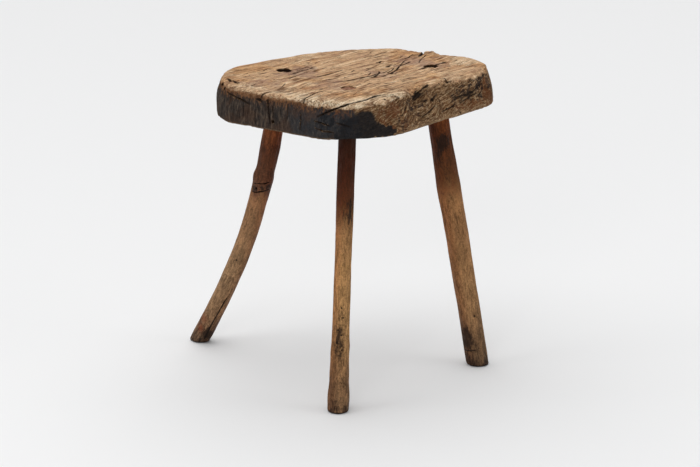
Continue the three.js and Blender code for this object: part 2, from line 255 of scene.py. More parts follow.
def new_piece(name, points, faces):
    """A mesh object from points in millimetres and groups of faces, turned outwards if the volume
    under its triangles comes out negative."""
    corners = points[triangles_of(faces)]
    volume = np.einsum("ij,ij->i", corners[:, 0], np.cross(corners[:, 1], corners[:, 2])).sum()
    faces = [group if volume > 0 else group[:, ::-1] for group in faces]
    loops = np.concatenate([group.ravel() for group in faces])
    counts = np.concatenate([np.full(*group.shape) for group in faces])
    mesh = bpy.data.meshes.new(name)
    mesh.vertices.add(len(points))
    mesh.vertices.foreach_set("co", (points * MM).astype(np.float32).ravel())
    mesh.loops.add(len(loops))
    mesh.loops.foreach_set("vertex_index", loops.astype(np.int32))
    mesh.polygons.add(len(counts))
    starts = np.concatenate([[0], np.cumsum(counts)[:-1]])
    mesh.polygons.foreach_set("loop_start", starts.astype(np.int32))
    mesh.update(calc_edges=True)
    mesh.validate()
    piece = bpy.data.objects.new(name, mesh)
    bpy.context.scene.collection.objects.link(piece)
    return piece


def carved(piece, cutters):
    """Cuts closed meshes out of a piece, one after another, and keeps the result as its mesh."""
    for cutter in cutters:
        cut = piece.modifiers.new(cutter.name, "BOOLEAN")
        cut.operation, cut.solver, cut.object = "DIFFERENCE", "MANIFOLD", cutter
    depsgraph = bpy.context.evaluated_depsgraph_get()
    piece.data = bpy.data.meshes.new_from_object(piece.evaluated_get(depsgraph))
    piece.modifiers.clear()
    for cutter in cutters:
        bpy.data.objects.remove(cutter)
    return piece


def read_points(piece, values, key):
    """Three numbers for each of the piece's points."""
    flat = np.empty(len(piece.data.vertices) * 3, np.float32)
    values.foreach_get(key, flat)
    return flat.reshape(-1, 3).astype(float)


def mesh_points(piece):
    """The piece's points in millimetres."""
    return read_points(piece, piece.data.vertices, "co") / MM


def keep_values(piece, **masks):
    """Stores one number or one vector for each point under each name, for the material to read."""
    for name, values in masks.items():
        kind, key = ("FLOAT_VECTOR", "vector") if values.ndim == 2 else ("FLOAT", "value")
        attribute = piece.data.attributes.new(name, kind, "POINT")
        attribute.data.foreach_set(key, np.ascontiguousarray(values, np.float32).ravel())


def finish_shading(piece, sharp_degrees):
    """Smooth shading, broken at edges that are sharper than an angle."""
    piece.data.shade_smooth()
    piece.data.set_sharp_from_angle(angle=math.radians(sharp_degrees))


# The slab's outline and blank

GRID_HALF = 96
SPOKES = 8 * GRID_HALF
ARC_STEPS = 9
SPOKE_START = 0.02


def corner_arcs(share):
    """The outline's rounded corners at a share of the slab's height: each corner leans towards the
    centre and is replaced by a quadratic curve between points cut back along its two sides."""
    corner, lean, cut = SLAB_CORNERS[:, :2], SLAB_CORNERS[:, 2:3], SLAB_CORNERS[:, 3:4]
    corner = corner + unit(SLAB_CENTRE - corner) * lean * share

    def cut_back(neighbour):
        side = neighbour - corner
        length = np.linalg.norm(side, axis=1, keepdims=True)
        return corner + side / length * np.minimum(cut, ROUNDED_SHARE * length)

    start, end = cut_back(np.roll(corner, 1, axis=0)), cut_back(np.roll(corner, -1, axis=0))
    turn = np.linspace(0, 1, ARC_STEPS)[None, :, None]
    arcs = (1 - turn) ** 2 * start[:, None] + turn**2 * end[:, None]
    return (arcs + 2 * turn * (1 - turn) * corner[:, None]).reshape(-1, 2)


def spoke_places():
    """Where each spoke meets the outline: evenly spaced by length along the outline at mid height,
    as a number of the arc point before it and a share of the way to the next."""
    arcs = corner_arcs(0.5)
    steps = np.linalg.norm(np.roll(arcs, -1, axis=0) - arcs, axis=1)
    reach = np.concatenate([[0], np.cumsum(steps)])
    at = (np.arange(SPOKES) / SPOKES + SPOKE_START) % 1 * reach[-1]
    before = np.clip(np.searchsorted(reach, at, side="right") - 1, 0, len(arcs) - 1)
    return before, (at - reach[before]) / np.maximum(steps[before], 1e-9)


SPOKE_BEFORE, SPOKE_SHARE = spoke_places()


def outline(share, inset=0.0):
    """The outline at a share of the height, one point a spoke, moved inwards along its own
    normals."""
    arcs = corner_arcs(share)
    after = (SPOKE_BEFORE + 1) % len(arcs)
    weight = SPOKE_SHARE[:, None]
    points = arcs[SPOKE_BEFORE] * (1 - weight) + arcs[after] * weight
    along = unit(np.roll(points, -2, axis=0) - np.roll(points, 2, axis=0))
    return points + np.stack([-along[:, 1], along[:, 0]], -1) * inset


def square_grid(half):
    """A square grid's points as rings: the ring number over half, and how far round the ring each
    point lies, from 0 to 1 anticlockwise from the lower right corner."""
    i, j = np.meshgrid(np.arange(-half, half + 1), np.arange(-half, half + 1), indexing="ij")
    ring = np.maximum(np.abs(i), np.abs(j))
    k = np.maximum(ring, 1)
    right, upper = (i == ring) & (j < ring), (j == ring) & (i > -ring)
    left = (i == -ring) & (j > -ring)
    round_right, round_upper = (j + k) / (8 * k), 0.25 + (k - i) / (8 * k)
    round_left, round_lower = 0.5 + (k - j) / (8 * k), 0.75 + (i + k) / (8 * k)
    place = np.where(left, round_left, round_lower)
    place = np.where(upper, round_upper, place)
    place = np.where(right, round_right, place)
    return (ring / half).ravel(), (place % 1).ravel()


def rim_numbers(half):
    """The numbers of a square grid's outermost points, in the order of its spokes."""
    side = 2 * half + 1
    run = np.arange(2 * half)
    right = 2 * half * side + run
    upper = (2 * half - run) * side + 2 * half
    left = 2 * half - run
    lower = run * side
    return np.concatenate([right, upper, left, lower])


def filled(rim, half, centre):
    """Points of a square grid drawn out to a closed outline: each ring is the outline shrunk
    towards the centre."""
    share, place = square_grid(half)
    at = place * len(rim)
    before = np.floor(at).astype(int) % len(rim)
    weight = (at - np.floor(at))[:, None]
    edge = rim[before] * (1 - weight) + rim[(before + 1) % len(rim)] * weight
    return centre + (edge - centre) * share[:, None]


def top_height(plan):
    """Height of the top: level, less each hollow, which fades out at its radius."""
    height = np.full(len(plan), float(SEAT_HEIGHT))
    for x, y, radius, depth in TOP_HOLLOWS:
        share = np.linalg.norm(plan - (x, y), axis=1) / radius
        height -= np.where(share < 1, depth * (1 - share**2) ** 2, 0)
    return height


def lifted(plan, height):
    """Plan points with a height each."""
    return np.concatenate([plan, np.broadcast_to(height, len(plan))[:, None]], axis=1)


ARRIS_RINGS = 5
WALL_RINGS = 26
LOWER_RINGS = 3
RIM_STEP = 4


def slab_blank():
    """The slab's skin before it is weathered: a square grid drawn out to the top's rim, rings that
    round the upper arris, follow the leaning and swelling side and round the lower arris, and a
    coarser square grid for the underside."""
    top_plan = filled(outline(1, TOP_ARRIS), GRID_HALF, SLAB_CENTRE)
    rings = []
    for k in range(1, ARRIS_RINGS + 1):
        turn = k / ARRIS_RINGS * math.pi / 2
        plan = outline(1, TOP_ARRIS * (1 - math.sin(turn)))
        rings.append(lifted(plan, top_height(plan) - TOP_ARRIS * (1 - math.cos(turn))))
    for k in range(1, WALL_RINGS + 1):
        share = 1 - k / WALL_RINGS
        plan = outline(share, -WALL_SWELL * math.sin(share * math.pi))
        low, high = UNDERSIDE + LOWER_ARRIS, SEAT_HEIGHT - TOP_ARRIS
        rings.append(lifted(plan, low + (high - low) * share))
    for k in range(1, LOWER_RINGS + 1):
        turn = k / LOWER_RINGS * math.pi / 2
        plan = outline(0, LOWER_ARRIS * (1 - math.cos(turn)))
        rings.append(lifted(plan, UNDERSIDE + LOWER_ARRIS * (1 - math.sin(turn))))
    under_rim = outline(0, LOWER_ARRIS + RIM_STEP)[::2]
    under_plan = filled(under_rim, GRID_HALF // 2, SLAB_CENTRE)
    points = np.concatenate([lifted(top_plan, top_height(top_plan)), *rings, lifted(under_plan, UNDERSIDE)])

    side = 2 * GRID_HALF + 1
    ring_numbers = side**2 + np.arange(len(rings) * SPOKES).reshape(len(rings), SPOKES)
    rows = np.concatenate([rim_numbers(GRID_HALF)[None], ring_numbers])
    after = np.roll(rows, -1, axis=1)
    wall = np.stack([rows[1:], after[1:], after[:-1], rows[:-1]], -1).reshape(-1, 4)
    under_start = ring_numbers[-1, -1] + 1
    under_numbers = under_start + rim_numbers(GRID_HALF // 2)
    joint = halving_faces(ring_numbers[-1], under_numbers)[:, ::-1]
    under = grid_faces(GRID_HALF + 1, GRID_HALF + 1) + under_start
    return points, [grid_faces(side, side)[:, ::-1], wall, joint, under]


# The slab's grain and marks


def log_place(points):
    """Where a point lies in the log: along the grain, across it and up from the pith, with the
    wander of the grain and a bulge of the rings round each knot."""
    grain, across = radial(GRAIN_BEARING), radial(GRAIN_BEARING - 90)
    offset = points - PITH_POINT
    along = offset @ grain
    side = offset @ across + 15 * noise(points, (150, 150, 400), 3.3)
    side = side + 3.5 * noise(points, (48, 48, 60), 9.1)
    rise = offset[:, 2] + 4 * noise(points, (60, 60, 60), 5.7)
    for x, y, z, reach, lift in KNOTS:
        gap = np.linalg.norm(points - (x, y, z), axis=1) / reach
        rise = rise + lift * np.exp(-(gap**2))
    return np.stack([along, side, rise], -1)


def blot(points, centre, wide, high, ragged, size):
    """A soft-edged patch: 1 at the centre, falling to 0 at its half width and half height, with an
    edge that noise makes ragged."""
    x, y, z = (points - centre).T
    gap = np.hypot(np.hypot(x, y) / wide, z / high)
    return smoothstep(1.2, 0.55, gap + ragged * noise(points, size, 1.9))


def nearness(points, course, reach, outward=None, depth=0.0):
    """1 on a polyline, fading by a bell curve with the distance from it. With an outward direction
    the distance is counted square to it, down to a depth."""
    course = np.asarray(course, float)
    margin = 2.5 * reach + depth
    close = np.all((points > course.min(0) - margin) & (points < course.max(0) + margin), axis=1)
    nearest = np.full(close.sum(), np.inf)
    for start, end in zip(course[:-1], course[1:]):
        step = end - start
        offset = points[close] - start
        offset = offset - np.clip(offset @ step / (step @ step), 0, 1)[:, None] * step
        if outward is not None:
            rise = offset @ outward
            offset = offset - np.clip(rise, -depth, 2)[:, None] * outward
        nearest = np.minimum(nearest, np.linalg.norm(offset, axis=1))
    result = np.zeros(len(points))
    result[close] = np.exp(-((nearest / reach) ** 2))
    return result


def facing(normals):
    """How far each point faces up, down and along the grain, each from 0 to 1."""
    top = smoothstep(0.45, 0.85, normals[:, 2])
    under = smoothstep(0.45, 0.85, -normals[:, 2])
    level = np.abs(normals @ radial(GRAIN_BEARING))
    end = smoothstep(0.45, 0.7, level) * (1 - top) * (1 - under)
    return top, under, end


def stroke_place(points):
    """Axes for the torn wood of the long side, whose fibres slant upwards: along a stroke, across
    it in the side, and out of the side. Round each swirl the place is turned in the plane of the
    side, most at its middle."""
    grain = radial(GRAIN_BEARING)
    along = unit(grain * math.cos(STROKE_RISE) + UP * math.sin(STROKE_RISE))
    out = radial(GRAIN_BEARING - 90)
    bent = points + np.stack([noise(points, 26, shift) for shift in (1.3, 5.1, 8.7)], -1) * 5
    for centre, reach, degrees in SWIRLS:
        offset = bent - centre
        ahead, rise = offset @ grain, offset[:, 2]
        turn = math.radians(degrees) * np.exp(-((np.linalg.norm(offset, axis=1) / reach) ** 2))
        ahead_after = ahead * np.cos(turn) - rise * np.sin(turn)
        rise_after = ahead * np.sin(turn) + rise * np.cos(turn)
        bent = bent + grain * (ahead_after - ahead)[:, None] + UP * (rise_after - rise)[:, None]
    return np.stack([bent @ along, bent @ np.cross(out, along), bent @ out], -1)


# Places of the long side where the fibres turn another way: centre, reach, degrees
SWIRLS = (
    ((138, -64, 424), 17, -44),
    ((96, -118, 416), 22, -16),
    ((206, 4, 424), 16, 24),
    ((176, -30, 408), 18, 18),
)
STROKE_RISE = math.radians(17)
FRONT_RIM = ((-44, -152, 449), (-14, -168, 449), (18, -178, 449), (60, -142, 450), (88, -116, 450))

# Broad scoops in the long side: centre, half width, half height, depth
SCOOPS = (
    ((184, -22, 421), 27, 14, 4.5),
    ((210, 12, 424), 18, 15, 4.5),
    ((70, -160, 424), 18, 12, 3.0),
    ((110, -112, 415), 22, 12, 2.5),
    ((150, -62, 408), 22, 9, 2.5),
    ((140, 148, 425), 20, 20, 3.0),
    ((-80, 124, 420), 34, 16, 2.5),
)


# Places in the top where the fibres have crumbled: x, y, reach, depth
CRUMBLED = (
    (57, -14, 17, 2.6),
    (77, 14, 9, 1.8),
    (-46, 30, 19, 2.4),
    (-55, 2, 11, 1.8),
    (-74, 28, 17, 1.0),
    (104, 106, 15, 1.6),
    (62, 80, 7, 2.2),
    (76, 60, 7, 2.2),
    (6, -80, 9, 1.8),
    (30, -86, 7, 1.2),
    (-30, -50, 14, 1.0),
    (135, 58, 15, 1.2),
    (-146, -44, 12, 1.8),
    (-92, -114, 12, 2.0),
)

# Year rings that the weather has opened on the top: centre, first and last radius, spacing
OPEN_RINGS = (((-112, -56), 4, 36, 8.5), ((34, -108), 36, 116, 5.4))


def crumbling(points, log):
    """How far the fibres have crumbled at each point, and how deep: ragged pits along the grain,
    gathered in the crumbled places."""
    pits = smoothstep(0.0, 0.42, noise(log, (13, 3.6, 3.6), 8.3))
    depth = np.zeros(len(points))
    for x, y, reach, deep in CRUMBLED:
        gap = np.hypot(points[:, 0] - x, points[:, 1] - y) / reach
        depth = np.maximum(depth, deep * np.exp(-(gap**2)))
    return pits, depth


def open_rings(points):
    """Grooves of the opened year rings, from 0 to 1: circles round each centre, drawn by a sine of
    the distance that noise bends, faded at both radii and in patches."""
    groove = np.zeros(len(points))
    patchy = smoothstep(-0.35, 0.3, noise(points, 19, 6.3))
    for (x, y), first, last, spacing in OPEN_RINGS:
        gap = np.hypot(points[:, 0] - x, points[:, 1] - y) + 3.2 * noise(points, 16, 4.2)
        line = smoothstep(0.25, 0.95, np.sin(gap * 2 * math.pi / spacing))
        line = line * smoothstep(first, first + 5, gap) * smoothstep(last, last - 12, gap)
        groove = np.maximum(groove, line)
    away = smoothstep(6, -14, points[:, 0]) * smoothstep(-40, -62, points[:, 1])
    near_knot = np.hypot(points[:, 0] + 112, points[:, 1] + 56) < 40
    return groove * patchy * np.where(near_knot, 1.0, away)


def weathering(points, normals):
    """How far the weather and the adze moved the surface along its normal: slow swells, furrows
    along the grain and opened rings on the top, upright furrows in the end grain, torn fibres on
    the long sides, nibbled edges, scallops underneath, the crumbled places, the scoops and the
    raised chip."""
    top, under, end = facing(normals)
    side = (1 - top) * (1 - under) * (1 - end)
    log, stroke = log_place(points), stroke_place(points)
    swell = 0.9 * noise(points, 72, 0.7) + 0.5 * noise(points, 27, 2.2)
    broad = smoothstep(0.05, 0.6, noise(log, (90, 5.6, 5.6), 4.4))
    fine = smoothstep(0.1, 0.6, noise(log, (52, 3.2, 3.2), 6.1))
    grit = noise(log, (9, 3.2, 3.2), 5.5)
    upright = noise(points, (4.4, 4.4, 60), 7.7) * 0.7 + noise(points, (2.6, 2.6, 22), 1.3) * 0.5
    lumps = noise(points, 17, 8.8)
    torn = 1.3 * noise(stroke, (26, 3.4, 5), 2.8) + 0.8 * noise(stroke, (13, 2.4, 4), 3.1)
    torn = torn + 0.6 * noise(points, 8, 4.6)
    scallop = -1.6 * np.abs(noise(points, 34, 6.6)) + 0.5 * noise(log, (60, 5, 5), 1.1)
    rim = smoothstep(UNDERSIDE + 20, SEAT_HEIGHT - 6, points[:, 2]) * smoothstep(0.98, 0.7, normals[:, 2])
    foot = smoothstep(UNDERSIDE + 8, UNDERSIDE + 1, points[:, 2]) * (1 - under)
    nibbled = -1.7 * smoothstep(0.05, 0.6, noise(points, (8, 8, 10), 2.3)) + 0.5 * noise(points, 3.2, 6.9)
    lip = nearness(points, FRONT_RIM, 14)
    pits, crumbled = crumbling(points, log)
    moved = 0.8 * swell
    moved += top * (-0.45 * broad - 0.6 * fine + 0.2 * grit - 0.7 * open_rings(points) - pits * crumbled)
    moved += end * (upright + 0.6 * lumps)
    moved += side * (0.6 * torn + 1.1 * lumps)
    moved += under * (scallop - 0.4)
    moved += np.maximum(rim, foot) * nibbled
    moved += lip * (0.7 * noise(points, (2.8, 2.8, 9), 9.4) - 0.4)
    for centre, wide, high, depth in SCOOPS:
        moved -= depth * blot(points, centre, wide, high, 0.15, 12) * (1 - top)
    chip = blot(points, (141, 143, 450), 12, 8, 0.5, 6)
    return moved + chip * (2.6 + 1.6 * noise(points, 5, 7.9))


# Splits. Each has its width, its depth, the side that it opens to and its course. On the top the
# course is x and y alone.
FRONT_SIDE, END_SIDE, LONG_SIDE = unit((-0.1, -1, 0.5)), unit((-0.6, -0.8, 0)), unit((0.75, -0.65, 0.1))
TOP_SPLITS = (
    # the split that runs in from the front corner, and its fork
    (4.0, 9, ((23, -173), (33, -164), (45, -149), (53, -135), (60, -130))),
    (2.0, 6, ((50, -137), (56, -129), (66, -125), (79, -123))),
    (1.3, 4, ((46, -147), (58, -138), (72, -133), (88, -122))),
    # the long split and its tangle of branches
    (2.8, 6, ((-4, -54), (10, -45), (24, -32), (38, -20))),
    (1.2, 4, ((6, -50), (20, -40), (34, -30))),
    (2.2, 5, ((34, -26), (44, -16), (52, -8), (56, 2))),
    (1.4, 4, ((38, -28), (52, -20), (66, -12))),
    (1.6, 4, ((44, -8), (48, 3), (49, 10))),
    (2.6, 6, ((52, -16), (58, -2), (62, 10), (61, 20))),
    (2.0, 6, ((60, -18), (67, -8), (73, 6))),
    (1.2, 4, ((64, 10), (71, 24), (77, 36))),
    (3.2, 9, ((66, -12), (71, 0), (77, 16), (81, 26))),
    (2.6, 8, ((79, 18), (84, 32), (88, 44), (91, 60))),
    (1.6, 6, ((73, 20), (80, 34), (83, 50))),
    (1.3, 4, ((84, 16), (88, 26), (95, 38))),
    (2.0, 5, ((58, 74), (62, 80), (65, 86))),
    (2.4, 5, ((72, 54), (75, 60), (79, 66))),
    (2.2, 6, ((90, 58), (98, 69), (107, 81))),
    (1.4, 4, ((92, 64), (96, 76), (100, 92))),
    (1.4, 3, ((96, 96), (105, 112), (113, 132))),
    (1.4, 4, ((120, 77), (124, 102), (129, 117), (133, 131))),
    (5.0, 9, ((133, 176), (129, 148), (126, 134), (122, 122))),
    # the hollowed middle and the places round the left tenon
    (2.2, 5, ((-26, -13), (-12, 0), (-5, 7))),
    (2.0, 5, ((-2, 10), (8, 23))),
    (2.4, 6, ((-66, -28), (-60, -15), (-52, -1))),
    (2.0, 5, ((-51, 0), (-42, 6), (-36, 13))),
    (2.2, 5, ((-50, 20), (-42, 30), (-35, 46))),
    (1.6, 5, ((-53, 38), (-46, 46), (-40, 50))),
    (1.6, 5, ((-58, 32), (-50, 36))),
    (1.6, 4, ((-62, 8), (-54, 16), (-48, 26))),
    (2.4, 4, ((-93, 6), (-81, 9))),
    (1.2, 3, ((-108, 0), (-100, 13))),
    (1.2, 3, ((-80, -88), (-75, -72), (-71, -54))),
    (1.8, 4, ((-117, -70), (-112, -58))),
    # the edge
    (2.2, 6, ((-43, -151), (-39, -145), (-34, -133), (-29, -121), (-23, -111), (-14, -104))),
    (4.4, 9, ((-154, -28), (-147, -41), (-141, -49), (-136, -57))),
    (2.6, 5, ((-103, -113), (-97, -114), (-89, -107))),
    (2.0, 4, ((146, -24), (158, -27))),
    # the crescent across the right tenon
    (3.2, 6, ((119, 39), (127, 44), (138, 53), (145, 63), (151, 75), (158, 86))),
)
SIDE_SPLITS = (
    (2.6, 8, FRONT_SIDE,
     ((-24, -172, 431), (-10, -174, 438), (0, -177, 443), (12, -179, 448), (22, -176, 451))),
    # upright checks in the end grain
    (2.4, 10, END_SIDE, ((-94, -122, 441), (-93, -126, 430), (-92, -128, 420), (-91, -129, 410))),
    (1.4, 7, END_SIDE, ((-87, -128, 434), (-86, -130, 427), (-86, -131, 419))),
    (1.2, 6, END_SIDE, ((-66, -143, 440), (-66, -145, 428), (-67, -146, 418))),
    (1.0, 5, END_SIDE, ((-128, -100, 428), (-129, -101, 420), (-129, -101, 411))),
    (1.0, 5, END_SIDE, ((-48, -156, 430), (-48, -158, 420), (-49, -158, 408))),
    (1.0, 5, END_SIDE, ((-112, -112, 424), (-113, -113, 414), (-112, -113, 405))),
    (3.0, 6, END_SIDE, ((-109, -111, 440), (-106, -114, 439), (-102, -117, 438))),
    (2.2, 5, END_SIDE,
     ((-152, -74, 441), (-145, -81, 438), (-136, -90, 437), (-126, -99, 434), (-120, -104, 431))),
    (1.2, 4, END_SIDE, ((-28, -168, 424), (-18, -174, 422), (-8, -178, 419))),
    (1.2, 4, END_SIDE, ((-26, -170, 414), (-14, -177, 411), (-3, -179, 410))),
    (1.2, 4, FRONT_SIDE, ((0, -180, 424), (12, -181, 421), (20, -180, 418))),
    # torn shakes of the long side
    (2.6, 8, LONG_SIDE, ((103, -98, 431), (108, -84, 437), (117, -72, 442), (128, -57, 447))),
    (1.8, 6, LONG_SIDE, ((131, -73, 428), (138, -66, 431), (146, -56, 434))),
    (1.6, 5, LONG_SIDE, ((109, -104, 427), (118, -89, 429), (127, -76, 430))),
    (1.6, 5, LONG_SIDE, ((150, -38, 440), (158, -32, 443), (164, -24, 446))),
    (2.0, 6, LONG_SIDE, ((168, -34, 422), (178, -20, 423), (186, -12, 423))),
    (2.2, 7, LONG_SIDE, ((186, -16, 422), (196, -4, 426), (206, 8, 430), (214, 20, 432))),
    (1.6, 6, LONG_SIDE, ((178, -28, 414), (190, -12, 418), (200, 0, 423))),
    (1.6, 5, LONG_SIDE, ((202, 2, 416), (209, 10, 421), (215, 18, 427))),
    (1.6, 5, LONG_SIDE, ((84, -140, 420), (92, -130, 424), (98, -120, 431))),
    (1.4, 4, LONG_SIDE, ((118, -98, 412), (130, -84, 416), (140, -72, 422))),
    (1.4, 4, LONG_SIDE, ((150, -62, 410), (162, -48, 413), (172, -36, 417))),
)

# Worm holes: where each opens, the way out of the wood and the radius
WORM_HOLES = (
    ((67, -147, 448), (0.2, -0.6, 0.7), 1.3),
    ((145, -40, 446), (0.5, -0.4, 0.8), 0.9),
    ((158, -27, 445), (0.6, -0.5, 0.6), 0.9),
    ((134, -68, 428), (0.6, -0.8, 0), 1.9),
    ((157, -55, 412), (0.6, -0.8, 0), 1.3),
    ((175, -39, 403), (0.75, -0.65, 0), 0.9),
    ((193, 24, 449), (0.3, -0.2, 0.9), 0.9),
    ((-105, -114, 439), (-0.6, -0.8, 0), 0.9),
    ((-160, -43, 446), (-0.35, -0.75, 0.55), 2.2),
    ((-156, -62, 444), (-0.35, -0.8, 0.45), 2.3),
    ((-86, -131, 413), (-0.4, -0.9, 0), 2.4),
    ((-78, -92, 450), (0, 0, 1), 0.9),
    ((40, 88, 450), (0, 0, 1), 0.9),
    ((12, -20, 450), (0, 0, 1), 0.9),
    ((150, 18, 450), (0, 0, 1), 0.9),
    ((176, 120, 425), (0.5, 0.85, 0), 0.9),
    ((-120, 84, 430), (-0.66, 0.75, 0), 0.9),
    ((-60, 140, 415), (-0.6, 0.8, 0), 0.9),
)

# The hollow of the rotted knot: centre, half sizes along and up its lip and into the wood, bearing
# and rise in degrees
ROT = ((115, -83, 435), (27, 9, 8), 54, 14)


# How far apart a blade's points are along its course, and how far it stands clear of the wood
BLADE_STEP, BLADE_STAND = 1.3, 3.0


def all_splits():
    """Every split of the slab with a course in space."""
    tops = ((*size, UP, [(*place, SEAT_HEIGHT) for place in course]) for *size, course in TOP_SPLITS)
    return [*tops, *SIDE_SPLITS]


def split_shape(width, depth, outward, course):
    """A blade along a split's course: a V that is deepest and widest in mid course, wanders and
    frays from side to side and stands clear of the surface."""
    count = max(6, int(run_along(course)[-1] / BLADE_STEP))
    centre = rounded(course, count)
    along = unit(np.gradient(centre, axis=0))
    across = unit(np.cross(along, outward))
    centre = centre + across * (0.3 * width * noise(centre, 3.2, 4.9) + 0.9 * noise(centre, 9, 2.6))[:, None]
    share = np.linspace(0, 1, count)
    open_share = np.maximum(np.sin(share * math.pi) ** 0.5, 0.06)
    half = 0.5 * width * open_share * np.clip(1 + 0.9 * noise(centre, 3.4, 7.3), 0.25, 2)
    deep = depth * open_share
    stand, none = np.full(count, BLADE_STAND), np.zeros(count)
    low = -0.4 * deep
    section = ((-deep, 0), (low, 0.6), (none, 1), (stand, 1.4), (stand, -1.4), (none, -1), (low, -0.6))
    rims = [centre + outward * rise[:, None] + across * (half * reach)[:, None] for rise, reach in section]
    return tube(np.stack(rims, 1))


def split_blades(name, splits):
    """A cutter for each split."""
    return [new_piece(f"{name}_{k}", *split_shape(*split)) for k, split in enumerate(splits)]


def joined(shapes):
    """Several shapes' points and faces as one."""
    points, quads, fans, start = [], [], [], 0
    for shape_points, (sides, *ends) in shapes:
        points.append(shape_points)
        quads.append(sides + start)
        fans += [end + start for end in ends]
        start += len(shape_points)
    return np.concatenate(points), [np.concatenate(quads), np.concatenate(fans)]


# The fine drying checks: their draw's seed, how many rows and columns lie each side of the middle,
# how far apart they are, their lengths, widths and drift, and how far they stay from the slab's edge
# and from the tenons
CHECK_SEED, CHECK_ROWS, CHECK_COLUMNS = 21, 21, 7
CHECK_ROW, CHECK_STEP = 9, 34
CHECK_LENGTHS, CHECK_WIDTHS, CHECK_DRIFT = (7, 30), (0.8, 2.1), 2.6
EDGE_MARGIN, TENON_MARGIN = 16, 18


def drying_checks():
    """Short fine checks in patches of the top, in staggered rows along the grain, each nudged,
    turned and sized by a seeded draw, and left out near the edge, the tenons and the named
    splits."""
    draw = np.random.default_rng(CHECK_SEED)
    grain, across = radial(GRAIN_BEARING), radial(GRAIN_BEARING + 90)
    rim = outline(1, EDGE_MARGIN)
    rows, columns = range(-CHECK_ROWS, CHECK_ROWS + 1), range(-CHECK_COLUMNS, CHECK_COLUMNS + 1)
    checks = []
    for row, column in itertools.product(rows, columns):
        nudge = draw.uniform(-1, 1, 2)
        length, width = draw.uniform(*CHECK_LENGTHS), draw.uniform(*CHECK_WIDTHS)
        drift = draw.uniform(-CHECK_DRIFT, CHECK_DRIFT)
        middle = (column + 0.5 * (row % 2)) * CHECK_STEP + 4 * nudge[0]
        centre = grain * middle + across * (row * CHECK_ROW + 3 * nudge[1])
        ends = np.array([centre - grain * length / 2, centre, centre + grain * length / 2])
        ends[:, :2] += SLAB_CENTRE
        ends += across * drift * np.array([-1, 0.4, 1])[:, None]
        ends[:, 2] = SEAT_HEIGHT
        if not inside(ends, rim).all() or noise(ends[1:2], 34, 2.2)[0] < -0.12:
            continue
        if any(nearness(ends, course, 7).max() > 0.3 for _, _, _, course in all_splits()):
            continue
        gaps = [np.linalg.norm(ends[:, :2] - leg["through"], axis=1).min() for leg in LEGS.values()]
        if min(gaps) < TENON_MARGIN:
            continue
        checks.append((width, 2.6 * width, UP, ends))
    return checks


def inside(points, rim):
    """Which points lie inside a closed outline in plan, by counting the sides that a ray crosses."""
    x, y = points[:, 0, None], points[:, 1, None]
    after = np.roll(rim, -1, axis=0)
    spans = (rim[:, 1] > y) != (after[:, 1] > y)
    step = np.where(after[:, 1] == rim[:, 1], 1e-9, after[:, 1] - rim[:, 1])
    crossing = rim[:, 0] + (y - rim[:, 1]) * (after[:, 0] - rim[:, 0]) / step
    return (spans & (x < crossing)).sum(1) % 2 == 1


def spokes(outward, sides):
    """Directions spread evenly round an outward direction of unit length and square to it."""
    first = unit(np.cross((1, 0, 0) if abs(outward[2]) > 0.9 else (0, 0, 1), outward))
    turn = np.linspace(0, 2 * math.pi, sides, endpoint=False)[:, None]
    return np.cos(turn) * first + np.sin(turn) * np.cross(outward, first)


def drill_shape(place, outward, radius, depth=7, sides=10):
    """A worm hole's drill: a slightly tapered round bar into the wood."""
    outward = unit(outward)
    spoke = spokes(outward, sides) * radius
    levels = ((-depth, 0.6), (-0.3 * depth, 1.0), (0, 1.1), (3, 1.1))
    return tube(np.stack([place + outward * rise + spoke * wide for rise, wide in levels]))


def drills(name, holes, **size):
    """One cutter for several worm holes."""
    return new_piece(name, *joined([drill_shape(*hole, **size) for hole in holes]))


def drilled(points, place, outward, radius):
    """1 in a worm hole and at its mouth, fading beside it."""
    return nearness(points, [place, place - 8 * unit(outward)], radius + 0.6)


def rot_shape(centre, size, bearing, rise, rows=22, sides=36):
    """The hollow of a rotted knot, an egg with a lumpy skin: a globe stretched to its half sizes,
    moved in and out by noise, tilted by rise and turned to a bearing."""
    polar = np.linspace(0, math.pi, rows + 2)[1:-1, None]
    turn = np.linspace(0, 2 * math.pi, sides, endpoint=False)[None]
    globe = [np.cos(polar) + 0 * turn, np.sin(polar) * np.cos(turn), np.sin(polar) * np.sin(turn)]
    globe = np.concatenate([np.stack(globe, -1).reshape(-1, 3), [[1.0, 0, 0], [-1.0, 0, 0]]])
    points = globe * size
    x, y, z = (points + globe * noise(points, (9, 4, 4), 2.7)[:, None]).T
    tilt, swing = math.radians(rise), math.radians(bearing)
    x, z = x * math.cos(tilt) - z * math.sin(tilt), x * math.sin(tilt) + z * math.cos(tilt)
    x, y = x * math.cos(swing) - y * math.sin(swing), x * math.sin(swing) + y * math.cos(swing)
    points = np.stack([x, y, z], -1) + centre
    return tube(points[:-2].reshape(rows, sides, 3), points[-2:])


# Leg frames and tenons


def lean(leg, degrees):
    """The direction that leans back from the leg's bearing by an angle from the vertical."""
    return radial(leg["bearing"]) * -math.sin(math.radians(degrees)) + UP * math.cos(math.radians(degrees))


def on_tenon_axis(leg, drop):
    """The point of the tenon's axis at a depth below the top of the slab."""
    axis = lean(leg, leg["rake"])
    return np.array([*leg["through"], SEAT_HEIGHT], float) - axis * (drop / axis[2])


def tenon_diameter(drop):
    """Diameter of the tapered tenon at a depth below the top, carried on past both faces."""
    return TENON_TIP + (TENON_ROOT - TENON_TIP) * drop / SLAB_THICKNESS


MORTISE_SIDES = 48
# How each mortise's mouth is worn wider, and which way it is worn off centre
WORN_MOUTHS = {"left": (0.8, (0.4, 0.6)), "front": (0.3, (-0.4, 0.2)), "right": (0.2, (0.3, 0.5))}


